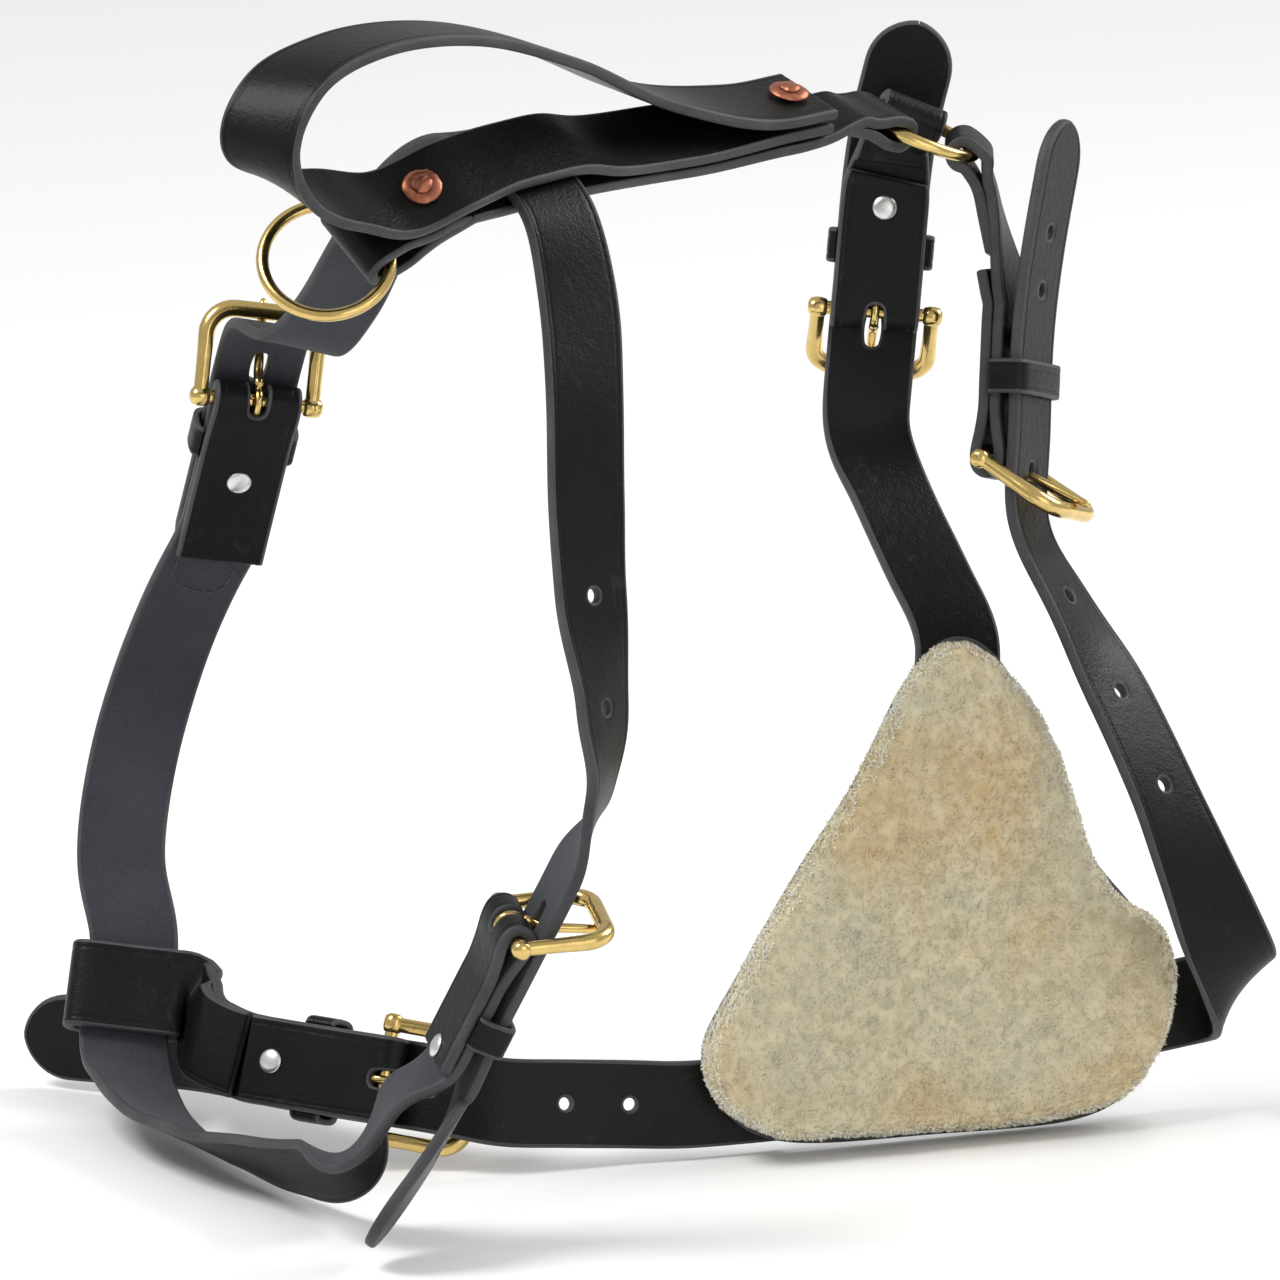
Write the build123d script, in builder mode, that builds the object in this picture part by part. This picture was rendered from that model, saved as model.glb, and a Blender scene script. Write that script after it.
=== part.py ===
from build123d import *
import os
from math import atan, cos, degrees, radians, sin

# A dog's walking harness of black leather with brass fittings, standing as it does on a table with no dog
# in it. +X is the way the dog faces, +Y its left, +Z up. Millimetres.

STRAP_W = 25.4
LEATHER = 3.5
STEP = 7.0  # length of one facet of a bent strap
GAP = 0.3  # between layers that are not sewn together
LAYER = LEATHER + GAP
PLATE_LEATHER = 3.8
FLEECE = 12.0

RING_R = 18.2  # to the middle of the wire
RING_WIRE = 1.8
BAR_R = 2.0
EYE_R = BAR_R + 0.06
FOLD_R = EYE_R + LEATHER
SIDE_Z = 16.4  # side rail of a buckle from its middle
RAIL_R = 2.3
BUCKLE_LONG = 26.0
CHAPE = 45.0  # doubled leather behind a buckle
BILLET_Y = FOLD_R + GAP + LEATHER / 2  # middle of the strap end that passes through a buckle
TONGUE_R = 1.4
KEEPER_W = 10.0
KEEPER_T = 2.0
RIVET_R = 1.5
COPPER_R = 2.1
BURR_R = 5.5
BURR_T = 1.2

MIDDLE = (18.7, 48.6, -0.95)  # middle of the footprint, on the table

os.makedirs("parts", exist_ok=True)


def at(x, y, z):
    return Vector(x - MIDDLE[0], y - MIDDLE[1], z - MIDDLE[2])


def seat(place, along, across):
    """A buckle's place: x out of the folded end, y out from the dog, z along the bar."""
    x = Vector(*along).normalized()
    z = Vector(*across)
    z = (z - x * z.dot(x)).normalized()
    return Plane(origin=at(*place), x_dir=x, z_dir=z)


def on(plane, x, y, z=0):
    return plane.origin + plane.x_dir * x + plane.y_dir * y + plane.z_dir * z


def smooth(route):
    """Fills in a route: each stretch gets points about every STEP mm on an even curve."""
    full = [(*item, 1.0)[:3] for item in route]
    dense = []
    for i in range(len(full) - 1):
        p0, p1, p2, p3 = (full[min(max(k, 0), len(full) - 1)][0] for k in (i - 1, i, i + 1, i + 2))
        steps = max(1, round((p2 - p1).length / STEP))
        for k in range(steps):
            t = k / steps
            place = (p1 * 2 + (p2 - p0) * t + (p0 * 2 - p1 * 5 + p2 * 4 - p3) * t**2
                     + (p1 * 3 - p0 - p2 * 3 + p3) * t**3) * 0.5
            across = full[i][1] * (1 - t) + full[i + 1][1] * t
            dense.append((place, across, full[i][2] * (1 - t) + full[i + 1][2] * t))
    dense.append(full[-1])
    return dense


def stations(route, first=None, last=None):
    """A plane across the strap at each point: x along its width, z along its length, and its width."""
    places = [item[0] for item in route]
    found = []
    for i, (place, across, share) in enumerate(route):
        along = places[min(i + 1, len(places) - 1)] - places[max(i - 1, 0)]
        if i == 0 and first is not None:
            along = first
        if i == len(places) - 1 and last is not None:
            along = last
        along = along.normalized()
        across = (across - along * across.dot(along)).normalized()
        found.append((Plane(origin=place, x_dir=across, z_dir=along), share))
    return found


def run(route, thick=LEATHER, first=None, last=None):
    """Adds a length of strap through the places of the route."""
    sections = []
    for plane, share in stations(smooth(route), first, last):
        with BuildSketch(plane) as section:
            Rectangle(STRAP_W * share, thick)
        sections.append(section.sketch)
    loft(sections, ruled=True)


def pointed(route, length=15):
    """The route of a free end, with three more places where the strap narrows to its point."""
    end, across = route[-1][:2]
    along = (end - route[-2][0]).normalized()
    return route + [(end + along * length * 0.55, across, 0.78), (end + along * length * 0.85, across, 0.45),
                    (end + along * length, across, 0.16)]


def folded_end(place, length=CHAPE, eye_long=0.0, eye_r=EYE_R, width=STRAP_W, turn=0.0, slot=True):
    """Adds the doubled end of a strap, folded round a bar or a ring, with the slot for a tongue."""
    outer = eye_r + LEATHER
    taper = min(16, length * 0.7)
    with BuildSketch(place) as side:
        Circle(outer)
        Polygon((0, outer), (-taper, LEATHER), (-length, LEATHER), (-length, -LEATHER), (-taper, -LEATHER),
                (0, -outer), align=None)
        if eye_long:
            middle = (cos(radians(turn)) * eye_long / 2, sin(radians(turn)) * eye_long / 2)
            with Locations(middle):
                SlotCenterToCenter(eye_long, 2 * outer, rotation=turn)
                SlotCenterToCenter(eye_long, 2 * eye_r, rotation=turn, mode=Mode.SUBTRACT)
        else:
            Circle(eye_r, mode=Mode.SUBTRACT)
    extrude(side.sketch, amount=width / 2, both=True)
    if slot:
        with BuildSketch(place.offset(-2.8)) as opening:
            with Locations((-1, 0)):
                Rectangle(17, 16)
        extrude(opening.sketch, amount=5.6, mode=Mode.SUBTRACT)


def billet_hole(place, hole_at, hole_long):
    """Cuts the oval hole that a buckle's tongue goes through."""
    with BuildSketch(Plane(origin=on(place, hole_at, BILLET_Y - 4), x_dir=place.x_dir, z_dir=place.y_dir)) as oval:
        SlotOverall(hole_long, 4.8)
    extrude(oval.sketch, amount=8, mode=Mode.SUBTRACT)


def punch(place, along, outward, size=2.2):
    """Cuts one round adjustment hole."""
    with BuildSketch(Plane(origin=place - outward.normalized() * 6, x_dir=along, z_dir=outward)) as hole:
        Circle(size)
    extrude(hole.sketch, amount=12, mode=Mode.SUBTRACT)


def rivet_hole(place, x):
    with BuildSketch(Plane(origin=on(place, x, -8), x_dir=place.x_dir, z_dir=place.y_dir)) as hole:
        Circle(RIVET_R + 0.05)
    extrude(hole.sketch, amount=12, mode=Mode.SUBTRACT)


def rivet(long, head_r=3.4, head=1.1, shank_r=RIVET_R):
    """A rivet along +Y: a low domed head outside and a flat one inside, with the shank between them."""
    with BuildPart() as stud:
        with BuildSketch():
            Polygon((0, -head), (head_r * 0.8, -head), (head_r, -0.02), (shank_r, -0.02), (shank_r, long + 0.02),
                    (head_r, long + 0.02), (head_r * 0.94, long + head * 0.45), (head_r * 0.66, long + head * 0.85),
                    (0, long + head), align=None)
        revolve(axis=Axis.Y)
    return stud.part


def burr():
    """The dished washer that a copper rivet is hammered down on."""
    with BuildPart() as washer:
        with BuildSketch():
            Polygon((COPPER_R + 0.1, 0), (BURR_R, 0), (BURR_R, BURR_T * 0.45), (COPPER_R + 1.4, BURR_T),
                    (COPPER_R + 0.1, BURR_T), align=None)
        revolve(axis=Axis.Y)
    return washer.part


def copper_rivet(long):
    """A copper rivet: a flat head inside, its shank, and the hammered dome outside over the washer."""
    top = long + BURR_T + 0.1
    with BuildPart() as stud:
        with BuildSketch():
            Polygon((0, -1.3), (4, -1.3), (4.6, -0.02), (COPPER_R, -0.02), (COPPER_R, top), (COPPER_R + 0.9, top),
                    (COPPER_R + 0.5, top + 0.9), (0, top + 1.4), align=None)
        revolve(axis=Axis.Y)
    return stud.part


def buckle_frame(tilt):
    """A round-wire horseshoe frame with its bar: the bar along Z, the frame raised from X towards Y."""
    with BuildPart() as frame:
        with BuildLine(Plane.XZ) as bow:
            FilletPolyline((0, -SIDE_Z), (BUCKLE_LONG, -SIDE_Z), (BUCKLE_LONG, SIDE_Z), (0, SIDE_Z), radius=8)
        with BuildSketch(Plane(origin=(0, 0, -SIDE_Z), z_dir=(1, 0, 0))):
            Circle(RAIL_R)
        sweep(path=bow.line)
        with Locations((0, 0, 0)):
            Cylinder(BAR_R, 2 * SIDE_Z)
        with Locations((0, 0, -SIDE_Z), (0, 0, SIDE_Z)):
            Sphere(RAIL_R + 0.5)
    return frame.part.rotate(Axis.Z, tilt)


def tongue(tilt):
    """A tongue: a ring round the bar and a pin that rests on the front rail."""
    over = tilt + degrees(atan((RAIL_R + TONGUE_R + 0.15) / BUCKLE_LONG))
    with BuildPart() as pin:
        Cylinder(BAR_R + 1.6, 4.6)
        with BuildSketch(Plane(origin=(2.9, 0, 0), z_dir=(1, 0, 0))):
            Circle(TONGUE_R)
        extrude(amount=BUCKLE_LONG + 0.5)
        with Locations((BUCKLE_LONG + 3.4, 0, 0)):
            Sphere(TONGUE_R)
        Cylinder(EYE_R, 6, mode=Mode.SUBTRACT)
    return pin.part.rotate(Axis.Z, over)


def keeper():
    """A leather loop over the billet, its ends sewn in between the two layers behind; its middle at X = 0."""
    high = BILLET_Y + LEATHER / 2 + GAP
    with BuildPart() as band:
        with BuildSketch(Plane.YZ.offset(-KEEPER_W / 2)):
            with Locations(((high + KEEPER_T - 1) / 2, 0)):
                RectangleRounded(high + KEEPER_T + 1, STRAP_W + 1 + 2 * KEEPER_T, 1.6)
            with Locations(((high - 3) / 2, 0)):
                Rectangle(high + 3, STRAP_W + 1, mode=Mode.SUBTRACT)
        extrude(amount=KEEPER_W)
    return band.part


def ring():
    with BuildPart() as hoop:
        with BuildSketch(Plane.XZ):
            with Locations((RING_R, 0)):
                Circle(RING_WIRE)
        revolve(axis=Axis.Z)
    return hoop.part


def write(name, part):
    part.label = name
    export_step(part, f"parts/{name}.step")


def put(name, shape, place):
    """Writes a fitting that was made about its own origin, moved to its place on the harness."""
    write(name, place.location * shape)


# ---- places of the fittings -------------------------------------------------------------------------------

girth_near = seat((-85, -35, 96), (0.28, -0.34, 0.90), (0.5, 0.86, 0.05))
girth_far = seat((-30, 127, 209), (-0.07, -0.37, 0.93), (-0.82, 0.55, 0.15))
belly = seat((-46, 58, 24.5), (0.25, -0.97, 0.0), (0.33, 0.085, 0.94))
neck_left = seat((131.5, 39, 223), (-0.22, -0.10, -0.97), (0.70, -0.69, -0.09))
neck_right = seat((129, -16, 189), (-0.25, -0.20, -0.95), (-0.90, -0.36, 0.25))
SEATS = {
    # name: place, tilt of the frame, keeper, rivet
    "girth_near": (girth_near, 62, -29, -41),
    "girth_far": (girth_far, 36, -16, -26),
    "belly": (belly, 34, -24, -36),
    "neck_left": (neck_left, 48, -18, -30),
    "neck_right": (neck_right, 58, -24, -36),
}

front_normal = Vector(0.315, -0.233, 0.912).normalized()
front_centre = at(129, 20, 281)
rear_normal = Vector(-0.487, -0.502, 0.706).normalized()
rear_centre = at(-98.5, 25.6, 282)


def ring_seat(centre, normal, outward, turn=0.0):
    """Where a strap is folded round a ring: x the way the strap's end points, z along the wire."""
    out = Vector(*outward)
    out = (out - normal * out.dot(normal)).normalized()
    z = out.cross(normal)
    y = z.cross(out * -1)
    x = out * -cos(radians(turn)) + y * sin(radians(turn))
    return Plane(origin=centre + out * RING_R, x_dir=x, z_dir=z)


TURN_LEFT = -60
TURN_RIGHT = -50
ring_left = ring_seat(front_centre, front_normal, (0.633, 0.764, -0.023), TURN_LEFT)
ring_right = ring_seat(front_centre, front_normal, (0.649, -0.657, -0.385), TURN_RIGHT)
ring_back = ring_seat(front_centre, front_normal, (-0.95, -0.077, 0.303))
ring_rear = ring_seat(rear_centre, rear_normal, (0.875, -0.28, 0.394))
EYE_LONG = 3.2
RING_FOLD_W = 19.0  # straps are cut narrower where three of them share a ring
SHARE = RING_FOLD_W / STRAP_W
RING_EYE = RING_WIRE + 0.35
REAR_EYE = RING_WIRE + 1.5

plate = Plane(origin=at(52, -22.5, 0.8), x_dir=(0.914, -0.406, 0), z_dir=(-0.404, -0.909, 0.0916))
BACK = -8 - LEATHER / 2 - 0.15  # where a strap lies behind the chest plate

# ---- back strap, handle and rings ---------------------------------------------------------------------------

roll_rear = Vector(0, -0.83, -0.56)
roll = Vector(0, -0.88, -0.47)
roll_front = Vector(0, -0.96, -0.26)


def above(place, across, lift, along=(1, 0, 0)):
    """A place raised off the back strap's face."""
    normal = across.cross(Vector(*along)).normalized()
    if normal.Z < 0:
        normal = normal * -1
    return place + normal * lift


back_route = [
    (on(ring_rear, -18, 0), ring_rear.z_dir),
    (at(-52, 17, 296), roll),
    (at(-32, 18, 296), roll),
    (at(-10, 19, 295.5), roll),
    (at(30, 20.5, 293), roll),
    (at(70, 20.5, 290.5), roll_front),
    (at(83, 19.6, 290.4), roll_front, 0.92),
    (on(ring_back, -18, 0), ring_back.z_dir * -1, SHARE),
]

handle_route = [
    (above(at(83, 20, 290.2), roll_front, 2 * LAYER + 2), roll_front),
    (above(at(60, 20.5, 291), roll_front, 2 * LAYER + 1.6), roll_front),
    (at(24, 21, 309), Vector(0, -1, -0.1)),
    (at(-15, 22, 328), Vector(0, -1, -0.05)),
    (at(-54, 22, 341), Vector(0, -1, 0)),
    (at(-92, 22, 344), Vector(0.1, -1, 0)),
    (at(-118, 22, 337), Vector(0.3, -0.95, 0)),
    (at(-128, 22, 321), Vector(0.3, -0.95, -0.1)),
    (at(-117, 20, 307), Vector(0.1, -0.9, -0.35)),
    (at(-99, 17, 301), Vector(0, -0.85, -0.5)),
    (on(ring_rear, -3, -9.6), roll_rear),
    (on(ring_rear, -12, -6.6), roll_rear),
    (on(ring_rear, -21, -5.9), roll_rear),
    (above(at(-47, 17.3, 296), roll, 2 * LAYER + 1.4), roll),
    (above(at(-32, 18, 296), roll, 2 * LAYER + 1.6), roll),
    (above(at(-17, 18.7, 295.7), roll, 2 * LAYER + 1.4), roll),
    (above(at(0, 19.5, 295), roll, LAYER + 1.2), roll),
    (above(at(30, 20.5, 293), roll, LAYER + 0.5), roll),
    (above(at(70, 20.5, 290.5), roll_front, LAYER + 0.5), roll_front),
    (above(at(83, 20, 290.2), roll_front, LAYER + 0.9), roll_front),
]
# Each copper rivet goes along Y of its place, from the inner face of the back strap outwards.
copper_rear = Plane(origin=on(ring_rear, -14.5, LEATHER + 0.8), x_dir=ring_rear.x_dir, z_dir=ring_rear.z_dir * -1)
copper_front = Plane(origin=above(at(76, 20.3, 290.4), roll_front, -LEATHER / 2 - 0.7), x_dir=(1, 0, 0.02),
                     z_dir=roll_front)
COPPER = {
    # name: place, thickness of leather that it holds
    "handle_rivet_rear": (copper_rear, 2 * LEATHER + LAYER + 2.8),
    "handle_rivet_front": (copper_front, 3 * LAYER + 2.9),
}


def copper_holes():
    for place, long in COPPER.values():
        with BuildSketch(Plane(origin=on(place, 0, -4), x_dir=place.x_dir, z_dir=place.y_dir)) as hole:
            Circle(COPPER_R + 0.05)
        extrude(hole.sketch, amount=long + 6, mode=Mode.SUBTRACT)


with BuildPart() as back_strap:
    folded_end(ring_rear, 18, 5.6, REAR_EYE, slot=False)
    folded_end(ring_back, 18, EYE_LONG, RING_EYE, RING_FOLD_W, slot=False)
    run(back_route, first=ring_rear.x_dir * -1, last=ring_back.x_dir)
    copper_holes()
write("back_strap", back_strap.part)
with BuildPart() as handle_strap:
    run(handle_route)
    copper_holes()
write("handle_strap", handle_strap.part)

put("rear_ring", ring(), Plane(origin=rear_centre, z_dir=rear_normal))
put("front_ring", ring(), Plane(origin=front_centre, z_dir=front_normal))

# ---- girth ------------------------------------------------------------------------------------------------

girth_x = girth_near.x_dir
over_route = pointed([
    (at(-116, -21.5, 18), Vector(0.74, 0.62, -0.29)),
    (at(-106, -26, 32.5), Vector(0.72, 0.65, -0.27)),
    (on(girth_near, -56, BILLET_Y + 3.5), Vector(0.66, 0.72, -0.16)),
    (on(girth_near, -37, BILLET_Y + 0.3), girth_near.z_dir),
    (on(girth_near, -8, BILLET_Y), girth_near.z_dir),
    (on(girth_near, 22, BILLET_Y), girth_near.z_dir),
    (at(-66, -52, 134), Vector(0.80, 0.55, -0.20)),
    (at(-62, -49, 158), Vector(0.94, 0.25, -0.20)),
    (at(-60, -42, 190), Vector(0.99, -0.05, -0.05)),
    (at(-55, -35, 217), Vector(0.98, -0.14, -0.05)),
    (at(-47, -26, 245), Vector(0.98, -0.14, -0.05)),
    (at(-38, -14, 268), Vector(0.98, -0.16, 0)),
    (above(at(-33, 2, 287), roll, LAYER + 0.4), Vector(1, -0.05, 0)),
    (above(at(-32, 18, 296), roll, LAYER + 0.3), Vector(1, -0.05, 0)),
    (above(at(-33, 34, 303), roll, LAYER + 0.1), Vector(0.99, -0.1, 0)),
    (at(-38, 52, 292), Vector(0.97, -0.2, -0.2)),
    (at(-40, 69, 268), Vector(0.93, -0.2, -0.3)),
    (at(-37, 86, 246), Vector(0.90, -0.25, -0.35)),
    (at(-34, 104, 231), Vector(0.88, -0.4, -0.3)),
    (on(girth_far, 24, BILLET_Y - 4), Vector(0.85, -0.5, -0.2)),
    (on(girth_far, 14, BILLET_Y), girth_far.z_dir * -1),
    (on(girth_far, -16, BILLET_Y), girth_far.z_dir * -1),
    (on(girth_far, -48, BILLET_Y), girth_far.z_dir * -1),
])
over_route = pointed(over_route[::-1])
with BuildPart() as girth_over_strap:
    run(over_route)
    billet_hole(girth_near, 5.0, 12)
    billet_hole(girth_far, 7.8, 11)
    for place, across, along in ((at(-60, -42, 190), (0.99, -0.05, -0.05), (0, -0.2, 0.97)),
                                 (at(-62, -49, 158), (0.94, 0.25, -0.20), (0, -0.1, 1)),
                                 (at(-106, -26, 32.5), (0.72, 0.65, -0.27), (-0.6, 0.3, -0.7))):
        punch(place, Vector(*along), Vector(*across).cross(Vector(*along)))
write("girth_over_strap", girth_over_strap.part)

loop_x = Vector(0.66, -0.74, -0.10).normalized()
loop_z = Vector(0.35, 0.30, 0.89)
loop = Plane(origin=at(-61, 148, 36), x_dir=loop_x, z_dir=loop_z - loop_x * loop_z.dot(loop_x))
under_route = [
    (on(girth_near, -CHAPE, LEATHER / 2), girth_near.z_dir * -1),
    (at(-105, -10, 46.5), Vector(-0.50, -0.84, 0.10)),
    (at(-106, 4, 28), Vector(-0.50, -0.75, 0.45)),
    (at(-101, 25, 15), Vector(-0.55, -0.40, 0.72)),
    (at(-97, 50, 11), Vector(-0.68, -0.15, 0.68)),
    (at(-92, 82, 9), Vector(-0.85, -0.05, 0.50)),
    (at(-83, 112, 9.5), Vector(-0.88, 0.30, 0.35)),
    (at(-75, 130, 13.5), Vector(-0.78, 0.52, 0.30)),
    (on(loop, 0, 0, -15), loop.x_dir * -1),
    (on(loop, 0, 0, 15), loop.x_dir * -1),
    (at(-49, 164, 68), Vector(-0.70, 0.70, 0)),
    (at(-38, 171, 94), Vector(-0.80, 0.60, 0)),
    (at(-29, 168, 124), Vector(-0.84, 0.54, 0.05)),
    (at(-27, 157, 148), Vector(-0.83, 0.54, 0.1)),
    (on(girth_far, -CHAPE, LEATHER / 2), girth_far.z_dir),
]
with BuildPart() as girth_under_strap:
    folded_end(girth_near)
    folded_end(girth_far)
    run(under_route, first=girth_x * -1, last=girth_far.x_dir)
    rivet_hole(girth_near, SEATS["girth_near"][3])
    rivet_hole(girth_far, SEATS["girth_far"][3])
write("girth_under_strap", girth_under_strap.part)

# ---- belly strap and the tab that ties it to the girth --------------------------------------------------------

LOOP_HALF = STRAP_W / 2 + 1.6
tab_route = [
    (on(belly, -CHAPE, 0), belly.z_dir),
    (at(-57, 112, 25), Vector(0.30, 0.05, 0.94)),
    (at(-56, 122, 27), Vector(0.32, 0.10, 0.94)),
    (on(loop, LOOP_HALF + 5, 0), loop.z_dir),
]
with BuildPart() as belly_tab:
    folded_end(belly)
    rivet_hole(belly, SEATS["belly"][3])
    run(tab_route, thick=2 * LEATHER, first=belly.x_dir * -1, last=loop.x_dir * -1)
    with BuildSketch(loop.offset(-STRAP_W / 2)) as around:
        RectangleRounded(2 * (LOOP_HALF + LEATHER), 3 * LEATHER + 2 * GAP + 1, LEATHER)
        Rectangle(2 * LOOP_HALF, LEATHER + 2 * GAP + 1, mode=Mode.SUBTRACT)
    extrude(around.sketch, amount=STRAP_W)
write("belly_tab", belly_tab.part)

belly_route = pointed([
    (on(plate, -6, 15, BACK), plate.y_dir),
    (on(plate, -22, 15, BACK), plate.y_dir),
    (at(20, 5, 15), Vector(0.07, 0.08, 0.99)),
    (at(8, 13, 16), Vector(0.1, 0.15, 0.98)),
    (at(-9, 22.5, 17.5), Vector(0.2, 0.2, 0.95)),
    (at(-26, 31, 19.5), Vector(0.28, 0.15, 0.94)),
    (on(belly, 20, BILLET_Y), belly.z_dir),
    (on(belly, -8, BILLET_Y), belly.z_dir),
    (on(belly, -38, BILLET_Y), belly.z_dir),
    (at(-46, 120, 20), Vector(0.2, 0.05, 0.97)),
    (at(-43, 143, 17), Vector(0.1, 0, 1)),
    (at(-47, 163, 15), Vector(0.05, 0, 1)),
    (at(-54, 179, 14.5), Vector(0, 0, 1)),
])
with BuildPart() as belly_strap:
    run(belly_route)
    billet_hole(belly, 9, 12)
    for place, along in ((at(-9, 22.5, 17.5), (-0.86, 0.5, 0)), (at(8, 13, 16), (-0.86, 0.5, 0))):
        punch(place, Vector(*along), Vector(0.5, 0.86, -0.1), 1.9)
write("belly_strap", belly_strap.part)

# ---- neck straps ------------------------------------------------------------------------------------------------

with BuildPart() as neck_chape_left:
    folded_end(neck_left, 36)
    folded_end(ring_left, 11, EYE_LONG, RING_EYE, RING_FOLD_W, -TURN_LEFT, slot=False)
    run([(on(neck_left, -36, 0), neck_left.z_dir), (on(ring_left, -11, 0), ring_left.z_dir, SHARE)],
        thick=2 * LEATHER, first=neck_left.x_dir * -1, last=ring_left.x_dir)
    rivet_hole(neck_left, SEATS["neck_left"][3])
write("neck_chape_left", neck_chape_left.part)

with BuildPart() as neck_chape_right:
    folded_end(neck_right)
    folded_end(ring_right, 11, EYE_LONG, RING_EYE, RING_FOLD_W, -TURN_RIGHT, slot=False)
    run([(on(neck_right, -CHAPE, 0), neck_right.z_dir), (on(ring_right, -11, 0), ring_right.z_dir, SHARE)],
        thick=2 * LEATHER, first=neck_right.x_dir * -1, last=ring_right.x_dir)
    rivet_hole(neck_right, SEATS["neck_right"][3])
write("neck_chape_right", neck_chape_right.part)

left_route = pointed([
    (on(plate, 50, 102, BACK), plate.x_dir),
    (on(plate, 47, 120, BACK - 1.5), plate.x_dir),
    (at(112, -15, 139), Vector(0.93, -0.38, 0)),
    (at(120, 6, 155), Vector(0.95, -0.32, 0.05)),
    (at(127, 27, 171), Vector(0.95, -0.3, 0)),
    (at(129, 40, 188), Vector(0.85, -0.5, -0.05)),
    (on(neck_left, 20, BILLET_Y), neck_left.z_dir),
    (on(neck_left, -8, BILLET_Y), neck_left.z_dir),
    (on(neck_left, -40, BILLET_Y), neck_left.z_dir),
    (at(151.5, 51, 275), neck_left.z_dir),
    (at(155, 50, 288), Vector(0.72, -0.69, 0)),
])
with BuildPart() as neck_strap_left:
    run(left_route)
    billet_hole(neck_left, 5.5, 11)
write("neck_strap_left", neck_strap_left.part)

right_route = pointed([
    (on(plate, 75, 29, BACK), plate.y_dir),
    (on(plate, 103, 29, BACK - 1.7), plate.y_dir),
    (at(163, -63, 33), Vector(0.10, 0, 1)),
    (at(163, -77, 37.5), Vector(0.40, 0.0, 0.9)),
    (at(155, -87, 46), Vector(0.70, -0.3, 0.6)),
    (at(145, -90, 60), Vector(0.88, -0.35, 0.2)),
    (at(139, -85, 80), Vector(0.96, -0.2, -0.1)),
    (at(136, -74, 103), Vector(0.98, -0.05, -0.16)),
    (at(134, -58, 128), Vector(0.98, 0, -0.15)),
    (at(131, -40, 153), Vector(0.93, 0.26, -0.25)),
    (on(neck_right, 18, BILLET_Y + 0.9), neck_right.z_dir * -1),
    (on(neck_right, -8, BILLET_Y + 0.3), neck_right.z_dir * -1),
    (on(neck_right, -36, BILLET_Y), neck_right.z_dir * -1),
    (on(neck_right, -60, BILLET_Y + 2), neck_right.z_dir * -1),
    (on(neck_right, -84, BILLET_Y + 5.5), neck_right.z_dir * -1),
])
with BuildPart() as neck_strap_right:
    run(right_route)
    billet_hole(neck_right, 5, 10)
    for place, across, along in ((at(131, -40, 153), (0.93, 0.26, -0.25), (0.1, -0.6, -0.8)),
                                 (at(134, -58, 128), (0.98, 0, -0.15), (0.1, -0.5, -0.85)),
                                 (at(136, -74, 103), (0.98, -0.05, -0.16), (0.1, -0.45, -0.9))):
        punch(place, Vector(*along), Vector(*across).cross(Vector(*along)))
    for x in (-50, -66):
        punch(on(neck_right, x, BILLET_Y), neck_right.x_dir, neck_right.y_dir)
write("neck_strap_right", neck_strap_right.part)

# ---- chest plate ------------------------------------------------------------------------------------------------

OUTLINE = [(45, 144), (30, 131), (14, 104), (-4, 80), (-22, 53), (-34, 32), (-29, 14), (-10, 2.5), (35, 0.5), (80, 1),
           (99, 12), (109, 34), (104, 53), (84, 80), (74, 106), (60, 136)]
with BuildPart() as plate_leather:
    with BuildSketch(plate.offset(-8)) as shape:
        with BuildLine():
            Spline(*OUTLINE, periodic=True)
        make_face()
    extrude(amount=PLATE_LEATHER)
write("plate_leather", plate_leather.part)
with BuildPart() as plate_fleece:
    with BuildSketch(plate.offset(-8 + PLATE_LEATHER + 0.05)) as shape:
        with BuildLine():
            Spline(*[(38 + (x - 38) * 0.965, 62 + (y - 62) * 0.965) for x, y in OUTLINE], periodic=True)
        make_face()
    extrude(amount=FLEECE)
write("plate_fleece", plate_fleece.part)

# ---- buckles, keepers and rivets ----------------------------------------------------------------------------------

for name, (place, tilt, keeper_x, rivet_x) in SEATS.items():
    put(name + "_frame", buckle_frame(tilt), place)
    put(name + "_tongue", tongue(tilt), place)
    put(name + "_keeper", Pos(keeper_x, 0, 0) * keeper(), place)
    put(name + "_rivet", Pos(rivet_x, -LEATHER, 0) * rivet(2 * LEATHER), place)
for name, (place, long) in COPPER.items():
    put(name, copper_rivet(long), place)
    put(name.replace("rivet", "burr"), Pos(0, long + 0.05, 0) * burr(), place)
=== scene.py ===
"""A dog's walking harness: black leather straps, a grab handle, brass fittings and a sheepskin chest plate."""
import math
import bmesh
import bpy
import numpy as np
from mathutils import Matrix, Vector, noise as wavy

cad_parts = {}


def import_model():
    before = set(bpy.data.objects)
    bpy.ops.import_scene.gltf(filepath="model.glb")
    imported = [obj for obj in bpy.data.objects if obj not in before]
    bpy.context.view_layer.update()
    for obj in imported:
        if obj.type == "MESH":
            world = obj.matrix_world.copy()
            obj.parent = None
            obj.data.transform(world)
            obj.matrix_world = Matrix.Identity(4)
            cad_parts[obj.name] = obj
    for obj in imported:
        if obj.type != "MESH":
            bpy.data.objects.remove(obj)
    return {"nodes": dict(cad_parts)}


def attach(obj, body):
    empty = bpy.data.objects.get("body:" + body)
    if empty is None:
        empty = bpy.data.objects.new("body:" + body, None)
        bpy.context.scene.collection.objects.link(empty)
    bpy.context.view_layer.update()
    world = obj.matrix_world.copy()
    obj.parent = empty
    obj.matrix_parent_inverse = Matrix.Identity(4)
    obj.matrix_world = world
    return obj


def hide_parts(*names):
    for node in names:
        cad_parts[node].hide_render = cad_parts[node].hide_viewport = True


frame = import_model()
scene = bpy.context.scene
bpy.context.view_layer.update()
rng = np.random.default_rng(12)
wavy.seed_set(12)  # or noise_vector would take its seed from the clock

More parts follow.
